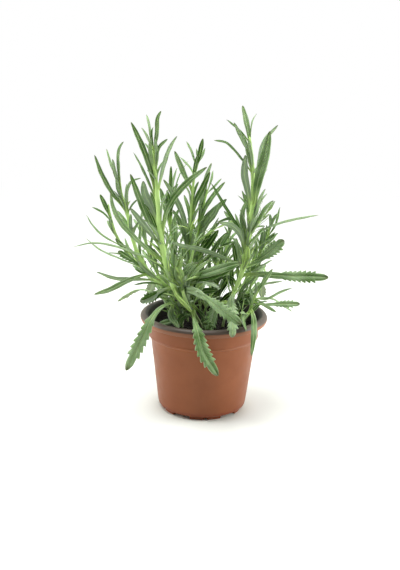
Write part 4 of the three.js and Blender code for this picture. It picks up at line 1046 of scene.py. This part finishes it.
# A section with its corners rounded: each becomes a curve that leaves one side and joins the next
# at the rounding's distance, and long sides get rows between
def roundedSection(corners, gap):
    corners = np.array(corners, float)
    points, t = [corners[:1, :2]], np.linspace(0, 1, potForm["roundSteps"])[:, None]
    for before, here, after in zip(corners[:-2], corners[1:-1], corners[2:]):
        sides = [before[:2] - here[:2], after[:2] - here[:2]]
        cut = min(here[2], *(potForm["longestCut"] * np.linalg.norm(side) for side in sides))
        start, end = (here[:2] + cut * unit(side) for side in sides)
        curve = (1 - t) ** 2 * start + 2 * t * (1 - t) * here[:2] + t**2 * end
        points.append(curve if cut > 0 else here[None, :2])
    points = np.vstack(points + [corners[-1:, :2]])
    filled = [points[:1]]
    for low, high in zip(points[:-1], points[1:]):
        count = max(1, int(np.linalg.norm(high - low) / gap))
        filled.append(low + (high - low) * np.linspace(0, 1, count + 1)[1:, None])
    return np.vstack(filled)


# The angles of the feet's middles, or of the middles between them
def footTurns(between=0):
    return np.radians(feet["turn"] - 90 + (np.arange(feet["count"]) + between) * 360 / feet["count"])


# Angles round the pot: even ones, and one just inside and outside each wall of a foot or notch.
# With them come masks that are true within a foot's span and within its notch.
def potAngles():
    pitch = 2 * np.pi / feet["count"]
    half, notch = np.radians(feet["angle"] / 2), feet["notchWide"] / 2 / feet["outer"]
    step = np.radians(feet["wallAngle"]) / 2
    walls = np.array([wall + near for wall in (-half, -notch, notch, half) for near in (-step, step)])
    middles = footTurns()
    angles = (middles[:, None] + walls).ravel() % (2 * np.pi)
    angles = np.unique(np.concatenate([circle(potForm["columns"]), angles]).round(5))
    gap = abs((angles - middles[0] + pitch / 2) % pitch - pitch / 2)
    return angles, gap < half, gap < notch


# The pot's section turned about its axis. Within the feet's radii and spans the underside drops
# to the ground, and to the notch's height at each foot's middle.
def potPart():
    section = roundedSection(potForm["corners"], potForm["rowGap"])
    angles, onFoot, onNotch = potAngles()
    radius, height = section[1:-1, :1], section[1:-1, 1:]
    inBand = (radius > feet["inner"]) & (radius < feet["outer"]) & (height < feet["floor"])
    heights = np.where(inBand & onFoot, np.where(onNotch, feet["notchHigh"], 0), height)
    far, low, high = potForm["liningFrom"]
    rows = np.arange(len(radius))[:, None]
    lip = rows >= rows[radius > far].min()
    lining = ((height - low) / (high - low)).clip(0, 1)
    lining = np.where((radius > potForm["crest"]) & lip, lining, lip)
    return tube(ringPoints(angles, radius, heights), [0, 0, 0], [0, 0, section[-1, 1]],
                {"lining": lining})


# An upright round bar at a turn of the drain holes' ring
def barPart(turn):
    place = drain["ring"] * np.array([np.cos(turn), np.sin(turn), 0])
    ends = [place + [0, 0, height] for height in drain["heights"]]
    ring = ringPoints(circle(drain["columns"]), drain["radius"])
    return tube(np.stack([ring + end for end in ends]), *ends, {"lining": 0.0})


# Cuts the drain holes, one between every two feet, and keeps the cut mesh
def cutHoles(pot):
    cutter = makePiece("drainCutter", [barPart(turn) for turn in footTurns(0.5)], [])
    cut = pot.modifiers.new("drain", "BOOLEAN")
    cut.operation, cut.solver, cut.object = "DIFFERENCE", "EXACT", cutter
    bpy.context.view_layer.update()
    seenMesh = pot.evaluated_get(bpy.context.evaluated_depsgraph_get())
    pot.data = bpy.data.meshes.new_from_object(seenMesh)
    pot.modifiers.clear()
    bpy.data.objects.remove(cutter)


# A length of the shader, in metres, as mm
def inMm(value):
    return compute("DIVIDE", value, mm)


# Clay-coloured outside with slow patches, a paler ridge, a redder bevel at the foot and a
# bright low edge of the lip, a grey-brown lining over the lip, painted shade on the lip's front
# where the leaves hang over it, and a dark inner side
def potMaterial():
    look = potFinish
    material, shader = newMaterial("nurseryPot", {"Roughness": 0.4, "Specular IOR Level": 0.3})
    split = addNode("ShaderNodeSeparateXYZ", {0: ownPlace()}).outputs
    across, deep, height = (inMm(split[axis]) for axis in "XYZ")
    radius = compute("SQRT", compute("ADD", times(across, across), times(deep, deep)))
    edge, lining = ramp(height, *look["edgeHeight"]), ramp(readMark("lining"), *look["liningRamp"])
    values = {
        "patches": noiseOf(*look["patches"]), "height": height, "edge": edge, "lining": lining,
        "ridgeGap": compute("ABSOLUTE", minus(height, look["ridgeHeight"])),
        # Painted shade: the lip above the edge height darkens towards the front, more on the lining than on
        # the clay
        "stain": times(ramp(lining, *look["paintedFrontShadeWeight"]), edge, ramp(deep, *look["front"])),
        "inside": times(ramp(radius, *look["insideRadius"]), lining),
    }
    fill(shader.inputs["Roughness"], ramp(noiseOf(*look["roughNoise"]), *look["rough"]))
    finishShader(shader, coated(look, "clay", values, look["coats"]), noiseOf(*look["grain"]),
                 *look["bump"])
    return material


def buildPot():
    pot = makePiece("pot_moulded", [potPart()], [potMaterial()])
    cutHoles(pot)
    pot.data.set_sharp_from_angle(angle=np.radians(potForm["sharpAngle"]))
    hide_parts("pot")
    print("pot has", len(pot.data.polygons), "faces")


buildPot()

# Soil: the fill's section, how far its top rises and falls, and the crumbs that lie on it
soilForm = {
    "section": [(0, 4.95, 0), (37.4, 4.95, 1), (43.6, 8, 2), (53.1, 85, 0.6)],
    "middle": 87.5, "edge": 85, "rim": 53.45, "columns": 150, "topRows": 56, "innermost": 0.8,
    "rowGap": 8, "waves": ((16, 1.3), (6, 1.0), (2.2, 0.55)), "lattice": 64,
}
crumbs = {"count": 1500, "size": (0.7, 2.6), "rings": 4, "poleGap": 0.7, "columns": 6, "flat": 0.7,
          "within": 52, "crowding": 3, "stretch": (0.7, 1.3), "uneven": 0.25, "raised": 0.2, "turn": 6}
soilFinish = {
    "dark": (0.006, 0.005, 0.004), "brown": (0.024, 0.017, 0.012), "fibre": (0.08, 0.055, 0.038),
    "grains": (2.5, 4, 0.65), "shadeWeight": 0.25, "flecks": (1.1, 2, 0.5, (1, 0.4, 1)),
    "bump": (0.7, 0.8), "coats": (("brown", "grains", 0.35, 0.85), ("fibre", "flecks", 0.68, 0.74)),
}


# Smooth random heights from -1 to 1: seeded values on a square lattice of cells, mixed between
# the four corners round each place with the smooth step
def bumps(x, y, cell, seed):
    size = soilForm["lattice"]
    values = np.random.default_rng(seed).uniform(-1, 1, (size, size))
    u, v = x / cell + size / 2, y / cell + size / 2
    i, j = np.floor(u).astype(int), np.floor(v).astype(int)
    s, t = smoothStep(u - i), smoothStep(v - j)
    low, high = (values[i % size, row % size] * (1 - s) + values[(i + 1) % size, row % size] * s
                 for row in (j, j + 1))
    return low * (1 - t) + high * t


# The soil's top: a low dome with bumps of several sizes
def soilTop(x, y):
    share = np.minimum(1, np.hypot(x, y) / soilForm["rim"])
    height = soilForm["middle"] + (soilForm["edge"] - soilForm["middle"]) * share**2
    for number, (cell, tall) in enumerate(soilForm["waves"]):
        height = height + tall * bumps(x, y, cell, seeds["bumps"] + number)
    return height


# The fill's section turned about the pot's axis, and its top as rings that shrink to the middle
def soilPart():
    section = roundedSection(soilForm["section"], soilForm["rowGap"])[1:]
    inward = np.linspace(section[-1, 0], soilForm["innermost"], soilForm["topRows"])[1:]
    rings = ringPoints(circle(soilForm["columns"]), np.append(section[:, 0], inward)[:, None])
    rings[..., 2] = soilTop(rings[..., 0], rings[..., 1])
    rings[:len(section) - 1, :, 2] = section[:-1, 1:]
    return tube(rings, [0, 0, section[0, 1]], [0, 0, rings[-1, :, 2].mean()], {"shade": 0.0})


# A crumb: a small ball of a few rings, pressed flat, with each of its points moved by a draw. The
# gap from a pole to its next ring is a share of the gap between two rings.
def crumbPart(x, y, size, draw):
    steps = np.arange(crumbs["rings"])[:, None] + crumbs["poleGap"]
    tilt = np.pi * steps / (crumbs["rings"] - 1 + 2 * crumbs["poleGap"])
    a = circle(crumbs["columns"]) + draw.uniform(0, crumbs["turn"])
    stretch = size / 2 * draw.uniform(*crumbs["stretch"], 3) * [1, 1, crumbs["flat"]]
    ball = ringPoints(a, np.sin(tilt), np.cos(tilt))
    ball = ball * (1 + crumbs["uneven"] * draw.uniform(-1, 1, ball.shape[:2]))[..., None] * stretch
    middle = np.array([x, y, soilTop(x, y) + crumbs["raised"] * size])
    ends = middle + np.array([[0, 0, 1], [0, 0, -1]]) * stretch
    return tube(ball + middle, *ends, {"shade": draw.uniform(0, 1)})


def soilMaterial():
    look = soilFinish
    material, shader = newMaterial("pottingSoil", {"Roughness": 0.9, "Specular IOR Level": 0.25})
    shade = times(readMark("shade"), look["shadeWeight"])
    values = {"grains": compute("ADD", noiseOf(*look["grains"]), shade),
              "flecks": noiseOf(*look["flecks"])}
    colour = coated(look, "dark", values, look["coats"])
    finishShader(shader, colour, values["grains"], *look["bump"])
    return material


def buildSoil():
    draw = np.random.default_rng(seeds["soil"])
    away = crumbs["within"] * np.sqrt(draw.random(crumbs["count"]))
    turns = draw.uniform(0, 2 * np.pi, crumbs["count"])
    sizes = draw.random(crumbs["count"]) ** crumbs["crowding"]
    sizes = crumbs["size"][0] + np.ptp(crumbs["size"]) * sizes
    parts = [soilPart()] + [crumbPart(r * np.cos(turn), r * np.sin(turn), size, draw)
                            for r, turn, size in zip(away, turns, sizes)]
    soil = makePiece("soil_fill", parts, [soilMaterial()])
    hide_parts("soil")
    print("soil has", len(parts) - 1, "crumbs")


buildSoil()

# The floor is a wide pale sheet that turns into plain white light far from the pot, and has no
# light of its own under it. The room's light is white all round but for the side the camera is
# on, which is dimmer.
stage = {"radius": 6000, "colour": (0.86, 0.9, 0.82, 1), "fade": (450, 1500, 0.3, 1),
         "columns": 64, "under": (42, 60)}
lights = [  # name, place, size and watts
    ("key", (-300, -150, 1800), 900, 30), ("leftSide", (-1300, 100, 450), 900, 9),
    ("rightSide", (1300, 0, 450), 900, 15), ("back", (300, 1100, 1700), 1500, 12),
]
room = {"shares": (-0.1, 0.5, 0.8, 0.12), "white": (1, 1, 1, 1), "aim": (0, 0, 150)}


def addFloor():
    material, shader = newMaterial("paleFloor", {"Roughness": 0.7, "Specular IOR Level": 0.2,
                                                 "Base Color": stage["colour"]})
    away = addNode("ShaderNodeVectorMath", {0: ownPlace()}, operation="LENGTH").outputs["Value"]
    share = times(*(ramp(inMm(away), *stage[name]) for name in ("fade", "under")))
    white = addNode("ShaderNodeEmission", {"Strength": 1.0, "Color": room["white"]}).outputs[0]
    both = addNode("ShaderNodeMixShader", {0: share, 1: shader.outputs[0], 2: white})
    fill(current["tree"].nodes["Material Output"].inputs["Surface"], both.outputs[0])
    ring = ringPoints(circle(stage["columns"]), stage["radius"] * mm)
    mesh = bpy.data.meshes.new("floor")
    mesh.from_pydata(ring.tolist(), [], [list(range(len(ring)))])
    mesh.materials.append(material)
    floor = addObject("floor", mesh)


# The room is plain white to the camera, and to all else its strength falls with the share of the
# direction that points towards the camera
def addRoom():
    world = bpy.data.worlds.new("studio")
    world.use_nodes = True
    current["tree"] = world.node_tree
    way = addNode("ShaderNodeTexCoord").outputs["Generated"]
    towards = times(addNode("ShaderNodeSeparateXYZ", {0: way}).outputs["Y"], -1.0)
    seenRay = addNode("ShaderNodeLightPath").outputs["Is Camera Ray"]
    background = world.node_tree.nodes["Background"].inputs
    fill(background["Strength"], compute("MAXIMUM", ramp(towards, *room["shares"]), seenRay))
    fill(background["Color"], room["white"])
    bpy.context.scene.world = world


def addLights():
    for name, place, size, watts in lights:
        data = bpy.data.lights.new(name, "AREA")
        data.shape, data.size, data.energy = "DISK", size * mm, watts
        lamp = addObject(name, data)
        lamp.location = Vector(place) * mm
        toPlant = Vector(room["aim"]) * mm - lamp.location
        lamp.rotation_euler = toPlant.to_track_quat("-Z", "Y").to_euler()
    bpy.context.scene.view_settings.view_transform = "Standard"


addFloor()
addRoom()
addLights()
print("floor and lights are set")
